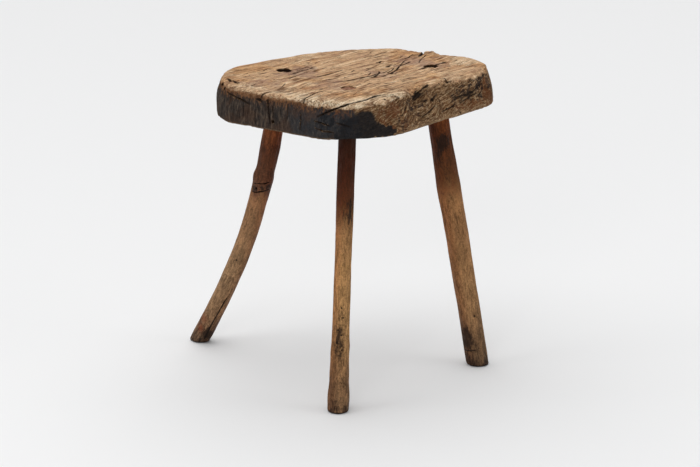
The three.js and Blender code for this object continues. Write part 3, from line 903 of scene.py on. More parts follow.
def mortise_cutter(name, leg):
    """The reamed hole for a tenon: a taper with its clearance, run out below the slab, whose mouth
    in the top is worn wider, uneven and off centre."""
    spoke = spokes(unit(lean(leg, leg["rake"])), MORTISE_SIDES)
    worn, shift = WORN_MOUTHS[name]
    rings = []
    for drop, share in ((SLAB_THICKNESS + OVERRUN, 0), (8, 0), (5, 0.35), (2, 0.8), (0, 1), (-OVERRUN, 2.6)):
        radius = tenon_diameter(max(drop, 0)) / 2 + MORTISE_CLEARANCE + worn * share
        ragged = share * noise(spoke * 4, 1.4, 3.9)[:, None]
        rings.append(on_tenon_axis(leg, drop) + np.array([*shift, 0]) * share + spoke * (radius + ragged))
    return new_piece(f"mortise_{name}", *tube(np.stack(rings)))


def kerf_cutter(name, leg):
    """The saw kerf for a tenon's wedge: a blade that narrows downwards with its clearance."""
    axis = lean(leg, leg["rake"])
    grain = radial(KERF_BEARING)
    thick = unit(grain - axis * (grain @ axis))
    broad = np.cross(axis, thick)
    taper = (WEDGE_BUTT - WEDGE_POINT) / WEDGE_LENGTH
    end = on_tenon_axis(leg, leg["sunk"])
    corners = []
    for rise in (-WEDGE_LENGTH - KERF_CLEARANCE, OVERRUN):
        half = 0.5 * (WEDGE_BUTT + taper * rise) + KERF_CLEARANCE
        for s, t in ((-1, -1), (1, -1), (1, 1), (-1, 1)):
            corners.append(end + axis * rise + thick * s * half + broad * t * TENON_ROOT)
    quads = np.array([(3, 2, 1, 0), (4, 5, 6, 7), (0, 1, 5, 4), (1, 2, 6, 5), (2, 3, 7, 6), (3, 0, 4, 7)])
    return new_piece(name, np.array(corners), [quads])


def build_seat():
    """The weathered slab with its mortises, splits, worm holes and rotted knot."""
    points, faces = slab_blank()
    normals = point_normals(points, faces)
    points = points + normals * weathering(points, normals)[:, None]
    seat = new_piece("seat_slab", points, faces)
    cutters = [mortise_cutter(name, leg) for name, leg in LEGS.items()]
    cutters.append(new_piece("rot", *rot_shape(*ROT)))
    cutters += split_blades("split", all_splits())
    cutters.append(new_piece("checks", *joined([split_shape(*check) for check in drying_checks()])))
    cutters.append(drills("worm_holes", WORM_HOLES))
    return carved(seat, cutters)


# Stains and worn places of the slab: centre, half width, half height, raggedness, its size, strength
STAINS = {
    "blue_stain": (
        ((34, -175, 416), 29, 26, 0.12, 9, 1.0),
        ((-10, -178, 414), 14, 22, 1.4, 3.4, 0.34),
        ((-13, -176, 428), 12, 10, 1.2, 4, 0.3),
        ((64, -162, 407), 21, 9, 0.6, 4.5, 1.0),
        ((22, -176, 403), 24, 11, 0.3, 5, 0.9),
    ),
    "soot": (
        ((113, -86, 435), 25, 12, 0.6, 5, 0.85),
        ((106, -108, 424), 16, 12, 0.8, 5, 0.4),
        ((178, -22, 423), 20, 8, 1.2, 4.5, 0.6),
        ((203, 4, 426), 20, 11, 1.4, 4, 0.6),
        ((92, -137, 412), 14, 10, 1.2, 4, 0.5),
        ((220, 34, 430), 11, 16, 1.2, 4, 0.6),
        ((206, 12, 436), 15, 12, 1.2, 4, 0.6),
        ((188, -14, 436), 14, 8, 1.2, 4, 0.5),
    ),
    "rust": (
        ((74, -150, 428), 20, 16, 1.2, 5, 0.7),
        ((220, 30, 414), 20, 28, 0.8, 5, 1.0),
        ((98, -134, 412), 24, 12, 0.9, 5, 0.5),
        ((190, -16, 409), 22, 9, 0.9, 5, 0.6),
        ((150, -60, 412), 30, 12, 1.2, 6, 0.35),
        ((3, -178, 436), 11, 9, 1.4, 3, 0.42),
    ),
    "bleach_and_rim_highlight": (
        ((186, 84, 450), 26, 30, 0.6, 9, 0.4),
        ((158, -14, 450), 22, 20, 0.6, 9, 0.4),
    ),
    "greyed": (
        ((108, 92, 450), 34, 30, 0.8, 12, 1.0),
        ((-6, -60, 450), 30, 30, 0.8, 12, 0.7),
        ((-50, 16, 450), 34, 30, 0.8, 12, 0.9),
        ((-105, -52, 450), 30, 24, 0.8, 9, 0.7),
        ((66, 6, 450), 28, 30, 0.8, 12, 0.8),
        ((134, 66, 450), 24, 30, 0.8, 9, 0.8),
    ),
}
LEFT_RIM = ((-128, -72, 450), (-92, -100, 450), (-56, -122, 450), (-36, -132, 450))
BROWN_EDGE = ((-167, -20, 441), (-152, -68, 441), (-95, -121, 441), (-44, -156, 441))
# Heights between which the marks of the top fade in, and those of the underside
TOP_FADE, UNDERSIDE_FADE = (436, 447), (404, 400)
# How dark the shade painted on each mortise's wall is
WALL_SHADE = {"left": 0.95, "front": 0.35, "right": 0.95}


def slab_crevices(points, normals, high, under):
    """How much shade is painted at each point: in a split, a check or a worm hole, on a mortise's
    wall, in a crumbled pit or an opened ring, or underneath by a tenon."""
    dark = [0.34 * high * open_rings(points)]
    for width, depth, outward, course in all_splits():
        shade = nearness(points, rounded(course, 12), 0.8 + 0.42 * width, outward, depth + 2)
        dark.append(min(1.0, 0.55 + 0.12 * width) * shade)
    for width, depth, outward, course in drying_checks():
        dark.append(0.7 * nearness(points, course, 0.4 + 0.4 * width, outward, depth + 2))
    dark += [drilled(points, *hole) for hole in WORM_HOLES]
    for name, leg in LEGS.items():
        mouth, root = on_tenon_axis(leg, 0), on_tenon_axis(leg, SLAB_THICKNESS)
        wall = nearness(points, [mouth, root], 16) > 0.3
        wall = wall * smoothstep(SEAT_HEIGHT, SEAT_HEIGHT - 3, points[:, 2])
        dark.append(WALL_SHADE[name] * wall * smoothstep(0.8, 0.4, normals[:, 2]))
        gap = np.linalg.norm((points - root)[:, :2], axis=1) + 5 * noise(points, 7, 3.7)
        # painted shade under the slab round each tenon's root
        dark.append(0.6 * under * smoothstep(34, 14, gap))
    pits, crumbled = crumbling(points, log_place(points))
    dark.append(0.8 * high * np.clip(crumbled / 2, 0, 1) * smoothstep(0.35, 0.9, pits))
    return np.max(dark, axis=0)


def mark_seat(seat):
    """Stores what the slab's material reads: the place in the log, the way each point faces, the
    masks of its stains and worn places, the shade painted in its splits and holes, and the
    highlight painted on its front and left rims."""
    points, normals = mesh_points(seat), read_points(seat, seat.data.vertex_normals, "vector")
    top, under, end = facing(normals)
    height = points[:, 2]
    high = smoothstep(*TOP_FADE, height)
    keep_values(
        seat,
        log_place=log_place(points) * MM,
        stroke_place=stroke_place(points) * MM,
        worn_top=high * smoothstep(0.05, 0.45, normals[:, 2]),
        end_grain=end,
        underside=under * smoothstep(*UNDERSIDE_FADE, height),
        # painted shade in the splits, checks, holes, pits and mortise walls
        crevice=slab_crevices(points, normals, high, under),
        brown_edge=nearness(points, BROWN_EDGE, 7),
    )
    # The front and left rims are painted pale: bleached wood, with the arris's highlight painted in
    rims = 1.1 * nearness(points, FRONT_RIM, 15) + 0.6 * nearness(points, LEFT_RIM, 15)
    shares = {"blue_stain": 1 - high, "soot": 1 - 0.9 * top, "bleach_and_rim_highlight": high, "greyed": high}
    for name, blots in STAINS.items():
        total = rims if name == "bleach_and_rim_highlight" else 0.0
        for *place, strength in blots:
            total = total + strength * blot(points, *place)
        keep_values(seat, **{name: np.clip(total, 0, 1) * shares.get(name, 1.0)})


# The legs

LEG_SIDES = 76
SHANK_ROWS = 300
TENON_ROWS = 34
CAP_RINGS = 8
END_DISH = 0.6
DENSE_POINTS = 2000


def bezier(ends, share):
    """Points and directions of a cubic curve through its end points, drawn by its two handles."""
    a, b, c, d = ends
    t = share[:, None]
    place = (1 - t) ** 3 * a + 3 * (1 - t) ** 2 * t * b + 3 * (1 - t) * t**2 * c + t**3 * d
    along = (1 - t) ** 2 * (b - a) + 2 * (1 - t) * t * (c - b) + t**2 * (d - c)
    return place, unit(along)


def shank_line(leg, count):
    """The shank's centre line at even lengths from the sole to the underside of the slab."""
    sole = on_tenon_axis(leg, 0) + radial(leg["bearing"]) * leg["splay"] - UP * SEAT_HEIGHT
    root = on_tenon_axis(leg, SLAB_THICKNESS)
    above, below = leg["bend"]
    foot, neck = lean(leg, leg["kick"]) * below, lean(leg, leg["rake"]) * above
    ends = sole, sole + foot, root - neck, root
    even = np.linspace(0, 1, DENSE_POINTS)
    dense, _ = bezier(ends, even)
    reach = run_along(dense)
    share = np.interp(np.linspace(0, reach[-1], count), reach, even)
    return (*bezier(ends, share), reach[-1])


def girths(leg, height):
    """The leg's depth at heights above the floor, eased between the listed girths."""
    levels, depths = np.array(leg["girth"], float).T
    upper = np.clip(np.searchsorted(levels, height, side="right"), 1, len(levels) - 1)
    share = smoothstep(levels[upper - 1], levels[upper], height)
    return depths[upper - 1] * (1 - share) + depths[upper] * share


def leg_rings(leg):
    """The leg's rings from the sole to the tenon's end: centres, directions of the leg and of each
    ring's plane, depths, ovals and the length run so far."""
    centre, along, length = shank_line(leg, SHANK_ROWS)
    run = np.linspace(0, length, SHANK_ROWS)
    risen = np.clip(run / LEVELLING, 0, 1)[:, None]
    plane = unit(UP * (1 - risen) + along * risen)
    shaved = smoothstep(length - NECK_LENGTH, length, run)
    depth = girths(leg, centre[:, 2]) * (1 - shaved) + TENON_ROOT * shaved
    bevel = np.clip(1 - run / SOLE_BEVEL, 0, 1)
    depth = depth - 2 * SOLE_BEVEL * (1 - np.sqrt(np.clip(1 - bevel**2, 0, 1)))
    oval = leg["oval"] * (1 - shaved) + shaved
    axis = lean(leg, leg["rake"])
    drops = np.linspace(SLAB_THICKNESS, leg["sunk"], TENON_ROWS + 1)[1:]
    tenon = np.array([on_tenon_axis(leg, drop) for drop in drops])
    share = np.linspace(0, 1, TENON_ROWS + 1)[1:, None]
    tenon_plane = unit(axis * (1 - share) + UP * share)
    tenon_run = length + (SLAB_THICKNESS - drops) / axis[2]
    return (
        np.concatenate([centre, tenon]),
        np.concatenate([along, np.tile(axis, (TENON_ROWS, 1))]),
        np.concatenate([plane, tenon_plane]),
        np.concatenate([depth, [tenon_diameter(drop) for drop in drops]]),
        np.concatenate([oval, np.ones(TENON_ROWS)]),
        np.concatenate([run, tenon_run]),
        length,
    )


# Marks on the legs: the point on the leg, half length, half width, height of the swelling
LEG_BUMPS = {
    "left": (
        ((-109, 41, 277), 9, 14, 1.4),
        ((-124, 50, 290), 10, 9, 1.7),
        ((-104, 46, 306), 22, 9, -0.8),
        ((-88, 36, 330), 13, 9, 1.4),
    ),
    "front": (
        ((-9, -151, 84), 12, 7, 1.2),
        ((2, -158, 73), 5, 10, -0.9),
        ((18, -147, 93), 8, 6, 0.7),
        ((16, -125, 250), 14, 7, 0.6),
        ((0, -120, 292), 18, 7, -0.6),
    ),
    "right": (
        ((152, 36, 262), 26, 10, 1.0),
        ((196, 20, 36), 14, 9, -1.2),
        ((203, 17, 48), 10, 8, 0.8),
        ((150, 38, 330), 20, 9, -0.7),
        ((178, 34, 276), 12, 9, 1.2),
    ),
}


def shaving(stem, turn, run, length, flats, seed):
    """How far the drawknife and wear moved a leg's surface: flats round it whose edges wander
    along the length, slow swells, ripples and a fine relief along the grain."""
    wander = 0.5 * np.sin(run / 90 + seed) + 0.3 * np.sin(run / 37 + 2 * seed)
    spread = 2 * math.pi / flats
    phase = (turn + wander * spread * 0.5) % spread - spread / 2
    flat = np.cos(spread / 2) / np.cos(phase) - (1 + math.cos(spread / 2)) / 2
    swell = 0.55 * noise(stem, (22, 22, 60), seed) + 0.3 * noise(stem, (9, 9, 26), seed + 3)
    ripple = 0.16 * noise(stem, (4, 4, 14), seed + 5) + 0.1 * noise(stem, (2.4, 2.4, 9), seed + 1)
    fade = smoothstep(length + 1, length - NECK_LENGTH, run) * smoothstep(0, 6, run)
    return fade * (7.5 * flat + swell + ripple) + (1 - fade) * 0.5 * ripple


def cap(ring, inward):
    """Rings that close an end: its ring shrunk towards its centre in even steps, dished by
    inward."""
    share = 1 - np.arange(1, CAP_RINGS)[:, None, None] / CAP_RINGS
    centre = ring.mean(0)
    return centre + (ring - centre) * share + inward * (1 - share**2)


def ring_axes(leg, along):
    """Two directions square to each ring's own: out along the leg's bearing, and across it."""
    out = radial(leg["bearing"])
    first = unit(out - along * (along @ out)[:, None])
    return first, np.cross(along, first)


def build_leg(name, leg, flats, seed):
    """A leg from sole to tenon: an oval carried along the bent centre line, shaved into soft flats,
    with its swellings and scars, closed by a level sole and a dished end, and sawn for its
    wedge."""
    centre, along, plane, depth, oval, run, length = leg_rings(leg)
    first, second = ring_axes(leg, along)
    turn = np.linspace(0, 2 * math.pi, LEG_SIDES, endpoint=False)
    cos, sin = np.cos(turn)[None, :, None], np.sin(turn)[None, :, None]
    spoke = first[:, None] * cos + second[:, None] * sin * oval[:, None, None]
    radius = depth[:, None] / 2
    risen = np.broadcast_to(run[:, None], (len(run), LEG_SIDES))
    stem = np.stack([radius * np.cos(turn), radius * np.sin(turn), risen], -1)
    moved = shaving(stem, turn[None], run[:, None], length, flats, seed)
    surface = centre[:, None] + spoke * radius[..., None]
    for place, long, wide, height in LEG_BUMPS[name]:
        offset = surface - place
        lengthwise = np.einsum("ijk,ik->ij", offset, along)
        sideways = np.linalg.norm(offset - lengthwise[..., None] * along[:, None], axis=-1)
        moved += height * np.exp(-((lengthwise / long) ** 2) - (sideways / wide) ** 2)
    spoke = spoke * (radius + moved)[..., None]
    slide = -np.einsum("ijk,ik->ij", spoke, plane) / np.einsum("ik,ik->i", along, plane)[:, None]
    rings = centre[:, None] + spoke + along[:, None] * slide[..., None]
    rings[0, :, 2] = 0.0
    dish = -along[-1] * END_DISH
    sole, end = cap(rings[0], 0 * UP)[::-1], cap(rings[-1], dish)
    middles = rings[0].mean(0), rings[-1].mean(0) + dish
    piece = new_piece(f"{name}_branch_leg", *tube(np.concatenate([sole, rings, end]), middles))
    return carved(piece, [kerf_cutter(f"kerf_{name}", leg), *leg_cutters(name)])


# Splits in the legs, as for the slab's sides, and worm holes
FACE = unit((0, -0.97, 0.1))
LEG_SPLITS = {
    "left": (
        (1.5, 4, unit((0.75, -0.6, 0.1)),
         ((-160, 88, 98), (-168, 92, 82), (-176, 97, 66), (-186, 103, 46), (-197, 111, 24), (-204, 117, 8))),
        (1.2, 2.2, FACE, ((-121, 47, 276), (-115, 42, 277), (-106, 40, 277), (-98, 43, 279))),
        (1.6, 2.6, FACE,
         ((-124, 51, 263), (-120, 46, 262), (-112, 43, 264), (-104, 43, 265), (-99, 47, 267))),
    ),
    "front": ((0.8, 1.2, unit((0.4, -1, 0.1)), ((20, -119, 300), (21, -122, 286), (20, -124, 276))),),
    "right": (
        (3.0, 4, UP,
         ((119, 39, 446), (127, 44, 446), (138, 53, 446), (145, 63, 446), (151, 75, 446), (158, 86, 446))),
        (1.4, 2.2, unit((0.1, -1, 0.1)), ((190, 24, 24), (198, 17, 25), (206, 14, 27))),
    ),
}
LEG_HOLES = {
    "left": (((-150, 70, 150), (0.3, -0.95, 0.2), 0.9), ((-118, 43, 269), (-0.2, -0.95, 0.1), 1.5)),
    "front": (
        ((8, -148, 149), (0.1, -0.99, 0.1), 0.9),
        ((10, -149, 135), (0.1, -0.99, 0.1), 0.9),
        ((3, -152, 118), (-0.1, -0.99, 0.1), 1.1),
        ((8, -154, 111), (0.1, -0.99, 0.1), 1.0),
        ((1, -155, 100), (-0.2, -0.97, 0.1), 1.2),
        ((8, -156, 90), (0.1, -0.99, 0.1), 1.1),
        ((16, -150, 60), (0.3, -0.95, 0.1), 0.9),
    ),
    "right": (((204, 18, 79), (0.1, -1, 0.1), 1.3), ((176, 30, 170), (0.0, -1, 0.1), 0.8)),
}


def leg_cutters(name):
    """The blades and drills for a leg's own splits and holes."""
    blades = split_blades(f"{name}_split", LEG_SPLITS[name])
    return [*blades, drills(f"{name}_holes", LEG_HOLES[name], depth=4)]


# Dark patches on the legs: centre, reach round the leg, reach up and down it, strength
LEG_GRIME = {
    "left": (
        ((-110, 43, 270), 20, 7, 0.62),
        ((-120, 48, 267), 6, 6, 0.5),
        ((-101, 43, 273), 5, 4, 0.6),
        ((-112, 44, 292), 20, 14, 0.2),
        ((-200, 112, 18), 14, 16, 0.5),
        ((-196, 114, 16), 9, 18, 0.6),
        ((-180, 94, 52), 6, 40, 0.4),
        ((-104, 40, 350), 26, 30, 0.15),
    ),
    "front": (
        ((8, -148, 142), 5, 12, 0.42),
        ((4, -152, 118), 7, 14, 0.38),
        ((1, -155, 100), 9, 10, 0.42),
        ((4, -157, 86), 9, 10, 0.5),
        ((8, -152, 108), 14, 34, 0.3),
        ((4, -166, 40), 12, 30, 0.35),
        ((20, -122, 284), 9, 24, 0.6),
        ((10, -122, 272), 16, 18, 0.4),
        ((12, -80, 448), 6, 8, 0.7),
        ((28, -86, 448), 6, 8, 0.6),
    ),
    "right": (
        ((190, 23, 54), 13, 20, 0.75),
        ((194, 19, 36), 14, 14, 0.7),
        ((206, 24, 14), 24, 12, 0.4),
        ((156, 31, 342), 10, 14, 1.0),
        ((148, 34, 322), 9, 24, 0.6),
        ((164, 30, 230), 7, 60, 0.3),
    ),
}
# The side on which each leg is darker and redder: 1 is +X, -1 is -X
FLUSHED = {"left": 1, "front": -1, "right": -1}
RED_PATCHES = {"left": ((-209, 114, 28), (-203, 112, 44)), "front": (), "right": ((163, 34, 270),)}


def stem_places(points, leg):
    """Where points lie in a leg's straightened stem: the length run along the centre line, found by
    two steps from the ring at the point's height, and the offsets along the ring's two axes. Also
    gives the offset from the centre line in space."""
    centre, along, _, _, _, run, _ = leg_rings(leg)
    order = np.clip(np.searchsorted(centre[:, 2], points[:, 2]), 1, len(run) - 1)
    for _ in range(2):
        ahead = np.einsum("ij,ij->i", points - centre[order], along[order])
        order = np.clip(np.searchsorted(run, run[order] + ahead), 1, len(run) - 1)
    offset, along = points - centre[order], along[order]
    axes = along, *ring_axes(leg, along)
    ahead, forth, aside = (np.einsum("ij,ij->i", offset, axis) for axis in axes)
    return np.stack([run[order] + ahead, forth, aside], -1), offset


def mark_leg(piece, name, leg):
    """Stores what a leg's material reads: the place along the straightened stem, and the masks of
    its dirt with the painted shade at its foot, of the shade painted in its splits and holes and
    round its sole, of its red patches and of its end."""
    points = mesh_points(piece)
    stem, offset = stem_places(points, leg)
    grime = np.zeros(len(points))
    for place, wide, high, strength in LEG_GRIME[name]:
        x, y, z = (points - place).T
        grime += strength * np.exp(-((np.hypot(x, y) / wide) ** 2) - (z / high) ** 2)
    height = points[:, 2]
    # The lowest 5 mm are darkened: painted shade where the foot meets the floor
    grime = grime + 0.8 * smoothstep(5, 0, height)
    red = np.zeros(len(points))
    for place in RED_PATCHES[name]:
        red = np.maximum(red, np.exp(-((np.linalg.norm(points - place, axis=1) / 7) ** 2)))
    # Painted shade: round the sole's rim, in the splits and in the worm holes
    dark = [smoothstep(3.6, 0.8, height)]
    for width, depth, outward, course in LEG_SPLITS[name]:
        dark.append(nearness(points, rounded(course, 12), 0.6 + 0.4 * width, outward, depth + 2))
    dark += [drilled(points, *hole) for hole in LEG_HOLES[name]]
    sideways = FLUSHED[name] * np.clip(offset[:, 0] / 14, -1, 1)
    keep_values(
        piece,
        stem_place=stem * MM,
        grime=np.clip(grime, 0, 1),
        reddened=red,
        crevice=np.max(dark, axis=0),
        flushed=smoothstep(-0.1, 0.9, sideways) * smoothstep(-0.5, 0.5, -offset[:, 1] / 14),
        tenon_end=smoothstep(SEAT_HEIGHT - 30, SEAT_HEIGHT - 10, height),
    )


# Materials


def srgb(red, green, blue):
    """A colour given as it looks, from 0 to 255 a channel, in the linear form that shaders use."""
    share = np.array([red, green, blue]) / 255
    linear = np.where(share <= 0.04045, share / 12.92, ((share + 0.055) / 1.055) ** 2.4)
    return (*linear, 1.0)


class Shading:
    """Adds nodes to one node tree. Each method returns the output that carries its result."""

    def __init__(self, tree):
        self.tree = tree

    def node(self, kind, inputs=None, **settings):
        """A shader node with its settings made and its inputs fed."""
        node = self.tree.nodes.new("ShaderNode" + kind)
        for name, value in settings.items():
            setattr(node, name, value)
        for name, value in (inputs or {}).items():
            self.feed(node.inputs[name], value)
        return node

    def feed(self, socket, value):
        """Links a socket to an output, or gives it a fixed value."""
        if isinstance(value, bpy.types.NodeSocket):
            self.tree.links.new(value, socket)
        else:
            socket.default_value = value

    def mask(self, name, output="Fac"):
        """A value that the piece's points carry: a number, or with output Vector a place."""
        return self.node("Attribute", attribute_name=name).outputs[output]

    def object_place(self):
        return self.node("TexCoord").outputs["Object"]

    def axes(self, vector):
        return self.node("SeparateXYZ", {0: vector}).outputs

    def joined(self, *parts):
        return self.node("CombineXYZ", dict(enumerate(parts))).outputs[0]

    def scaled(self, vector, scale):
        return self.node("VectorMath", {0: vector, 1: scale}, operation="MULTIPLY").outputs[0]

    def maths(self, operation, a, b=0.0, clamp=False):
        return self.node("Math", {0: a, 1: b}, operation=operation, use_clamp=clamp).outputs[0]

    def product(self, a, b):
        return self.maths("MULTIPLY", a, b)

    def total(self, *weighted):
        """The sum of some values, each times its weight."""
        result = 0.0
        for value, weight in weighted:
            values = {0: value, 1: weight, 2: result}
            result = self.node("Math", values, operation="MULTIPLY_ADD").outputs[0]
        return result

    def between(self, value, low, high, start=0.0, end=1.0, kind="SMOOTHSTEP"):
        """Start where the value is low or less, end where it is high or more, and an S-curve or a
        straight line between them."""
        values = {"Value": value, "From Min": low, "From Max": high, "To Min": start, "To Max": end}
        return self.node("MapRange", values, interpolation_type=kind).outputs["Result"]

    def noise(self, vector, scale, detail=3.0, roughness=0.55, distortion=0.0):
        values = {"Vector": vector, "Scale": scale, "Detail": detail, "Roughness": roughness}
        return self.node("TexNoise", {**values, "Distortion": distortion}).outputs["Fac"]

    def cells(self, vector, scale, detail=2.0, roughness=0.5, distortion=0.0):
        """Noise with more contrast, from 0 to 1."""
        return self.between(self.noise(vector, scale, detail, roughness, distortion), 0.36, 0.64)

    def line(self, vector, scale, width):
        """1 along the wandering lines where a noise passes its middle, fading to 0 beside them."""
        level = self.maths("SUBTRACT", self.noise(vector, scale, 1.0, 0.5, 0.5), 0.5)
        return self.between(self.maths("ABSOLUTE", level), 0.0, width, 1.0, 0.0)

    def mix(self, share, a, b, blend="MIX"):
        """Colour a where the share is 0, and b laid over it where the share is 1."""
        node = self.node("Mix", data_type="RGBA", blend_type=blend)
        for socket, value in zip((node.inputs[0], node.inputs[6], node.inputs[7]), (share, a, b)):
            self.feed(socket, value)
        return node.outputs[2]

    def laid(self, colour, share, strength, *tone):
        """A tone laid over a colour where a share says so, up to a strength."""
        return self.mix(share if strength == 1 else self.product(share, strength), colour, srgb(*tone))

    def toned(self, colour, value, *limits):
        """A colour made darker or lighter by a value between limits."""
        values = {0: colour, 3: self.between(value, *limits)}
        return self.node("VectorMath", values, operation="SCALE").outputs[0]

    def ramp(self, share, *stops):
        """Colours along a share, from stops of a position and a tone."""
        node = self.node("ValToRGB", {"Fac": share})
        elements = node.color_ramp.elements
        while len(elements) < len(stops):
            elements.new(0.5)
        for element, (position, *tone) in zip(elements, stops):
            element.position, element.color = position, srgb(*tone)
        return node.outputs["Color"]

    def bump(self, height, distance, normal=None):
        node = self.node("Bump", {"Height": height, "Distance": distance, "Strength": 1.0})
        if normal is not None:
            self.feed(node.inputs["Normal"], normal)
        return node.outputs["Normal"]

    def group(self, tree, place, *values):
        """A node group at a place, with its other inputs in their order."""
        node = self.node("Group", node_tree=tree)
        for socket, value in zip(node.inputs, (place, *values)):
            self.feed(socket, value)
        return node.outputs


def new_group(name, values, results):
    """An empty node group that takes a Place and named values and gives named results: its tree,
    its shading, its inputs and the sockets that its results go to."""
    tree = bpy.data.node_groups.new(name, "ShaderNodeTree")
    tree.interface.new_socket("Place", in_out="INPUT", socket_type="NodeSocketVector")
    for in_out, labels in (("INPUT", values), ("OUTPUT", results)):
        for label in labels:
            tree.interface.new_socket(label, in_out=in_out, socket_type="NodeSocketFloat")
    given, made = (tree.nodes.new(f"NodeGroup{side}") for side in ("Input", "Output"))
    return tree, Shading(tree), given.outputs, made.inputs


def wood_fibre_group():
    """Fibres of split wood: streaks of three widths drawn out along the first axis of Place, dark
    lines of two widths between them, and the relief that both leave."""
    tree, shading, given, made = new_group(
        "wood_fibre", ("Fibres per metre", "Stretch"), ("Streak", "Line", "Height")
    )
    fibres = given["Fibres per metre"]
    place = shading.scaled(given["Place"], shading.joined(given["Stretch"], 1.0, 1.0))
    broad = shading.cells(place, fibres, distortion=0.25)
    fine = shading.cells(place, shading.product(fibres, 2.4), roughness=0.6, distortion=0.2)
    hair = shading.cells(place, shading.product(fibres, 7.0), roughness=0.6)
    streak = shading.total((broad, 0.36), (fine, 0.42), (hair, 0.22))
    patch = shading.noise(given["Place"], 24.0, 2.0, 0.5)
    small_patch = shading.noise(given["Place"], 70.0, 2.0, 0.5)
    wide_line = shading.line(place, shading.product(fibres, 0.55), 0.05)
    wide_line = shading.product(wide_line, shading.between(patch, 0.5, 0.6))
    thin_line = shading.line(place, shading.product(fibres, 1.5), 0.06)
    thin_line = shading.product(thin_line, shading.between(small_patch, 0.47, 0.6, 0.0, 0.85))
    line = shading.maths("MAXIMUM", wide_line, thin_line)
    shading.feed(made["Streak"], streak)
    shading.feed(made["Line"], line)
    shading.feed(made["Height"], shading.total((streak, 1.0), (line, -0.6)))
    return tree


def growth_ring_group():
    """Year rings round the pith: the distance from it, wandering a little, cut into soft bands with
    one sharp side, and the rays that spread from the pith."""
    tree, shading, given, made = new_group("growth_rings", ("Rings per metre",), ("Late wood", "Ray"))
    flat = shading.scaled(given["Place"], (0.0, 1.0, 1.0))
    radius = shading.node("VectorMath", {0: flat}, operation="LENGTH").outputs["Value"]
    wander = shading.noise(shading.scaled(given["Place"], (0.15, 1.0, 1.0)), 30.0, 2.0, 0.5)
    radius = shading.maths("ADD", radius, shading.product(wander, 0.006))
    band = shading.maths("FRACT", shading.product(radius, given["Rings per metre"]))
    late = shading.product(shading.between(band, 0.35, 0.92), shading.between(band, 1.0, 0.94))
    parts = shading.axes(given["Place"])
    angle = shading.maths("ARCTAN2", parts["Y"], parts["Z"])
    spread = shading.joined(shading.product(angle, 26.0), shading.product(radius, 9.0), parts["X"])
    shading.feed(made["Late wood"], late)
    shading.feed(made["Ray"], shading.between(shading.noise(spread, 2.0, 2.0), 0.56, 0.72))
    return tree


def grime_group():
    """Dirt of years: where Amount is high, streaky patches with frayed edges; everywhere, a few
    dark specks."""
    tree, shading, given, made = new_group("grime", ("Amount",), ("Dirt", "Speck"))
    streaky = shading.cells(shading.scaled(given["Place"], (0.3, 1.0, 1.0)), 260.0, 3.0, 0.6, 0.4)
    small = shading.noise(given["Place"], 430.0, 3.0, 0.65)
    level = shading.total((given["Amount"], 1.0), (streaky, 0.42), (small, 0.5))
    speckled = shading.total((small, 1.0), (given["Amount"], 0.13))
    shading.feed(made["Dirt"], shading.between(level, 0.85, 1.3))
    shading.feed(made["Speck"], shading.between(speckled, 0.6, 0.68))
    return tree


FIBRE = wood_fibre_group()
RINGS = growth_ring_group()
GRIME = grime_group()


def new_material(name):
    """A material with a Principled shader alone: the material, its shading, the shader and the
    socket that the surface goes to."""
    material = bpy.data.materials.new(name)
    material.use_nodes = True
    material.node_tree.nodes.clear()
    shading = Shading(material.node_tree)
    shader = shading.node("BsdfPrincipled")
    surface = shading.node("OutputMaterial").inputs["Surface"]
    shading.feed(surface, shader.outputs[0])
    return material, shading, shader, surface


def top_wood(shading, fibre, rings, plain, small):
    """The bleached top: tan and pale fibres, brown late wood and lines, greyed and mauve places, and
    pale bleached blots and front and left rims, the rims' paleness partly a painted highlight."""
    cloud = shading.noise(plain, 15.0, 3.0, 0.6, 0.4)
    streak = fibre["Streak"]
    tan = ((0.04, 118, 82, 62), (0.22, 180, 140, 108), (0.50, 212, 173, 134), (0.78, 232, 196, 154))
    colour = shading.ramp(streak, *tan, (0.96, 250, 226, 192))
    colour = shading.laid(colour, rings["Late wood"], 0.3, 152, 108, 72)
    colour = shading.mix(shading.between(cloud, 0.5, 0.66, 0.0, 0.5), colour, srgb(242, 214, 172), "MULTIPLY")
    cloudy = shading.between(cloud, 0.30, 0.42, 0.3, 0.0)
    greyed = shading.maths("ADD", shading.mask("greyed"), cloudy, clamp=True)
    colour = shading.laid(colour, greyed, 0.5, 156, 124, 112)
    pale = shading.ramp(streak, (0.1, 144, 108, 78), (0.4, 214, 184, 148), (0.8, 250, 232, 202))
    # Pale where bleached, and on the rims a painted highlight
    bleach_and_rim_highlight = shading.product(shading.mask("bleach_and_rim_highlight"), shading.between(small, 0.3, 0.55, 0.35, 0.95))
    colour = shading.mix(bleach_and_rim_highlight, colour, pale)
    brown = shading.total((shading.mask("brown_edge"), 1.0), (small, 0.9))
    colour = shading.laid(colour, shading.between(brown, 0.75, 1.25, 0.0, 0.85), 1, 118, 76, 46)
    return shading.laid(colour, fibre["Line"], 0.72, 88, 54, 32)


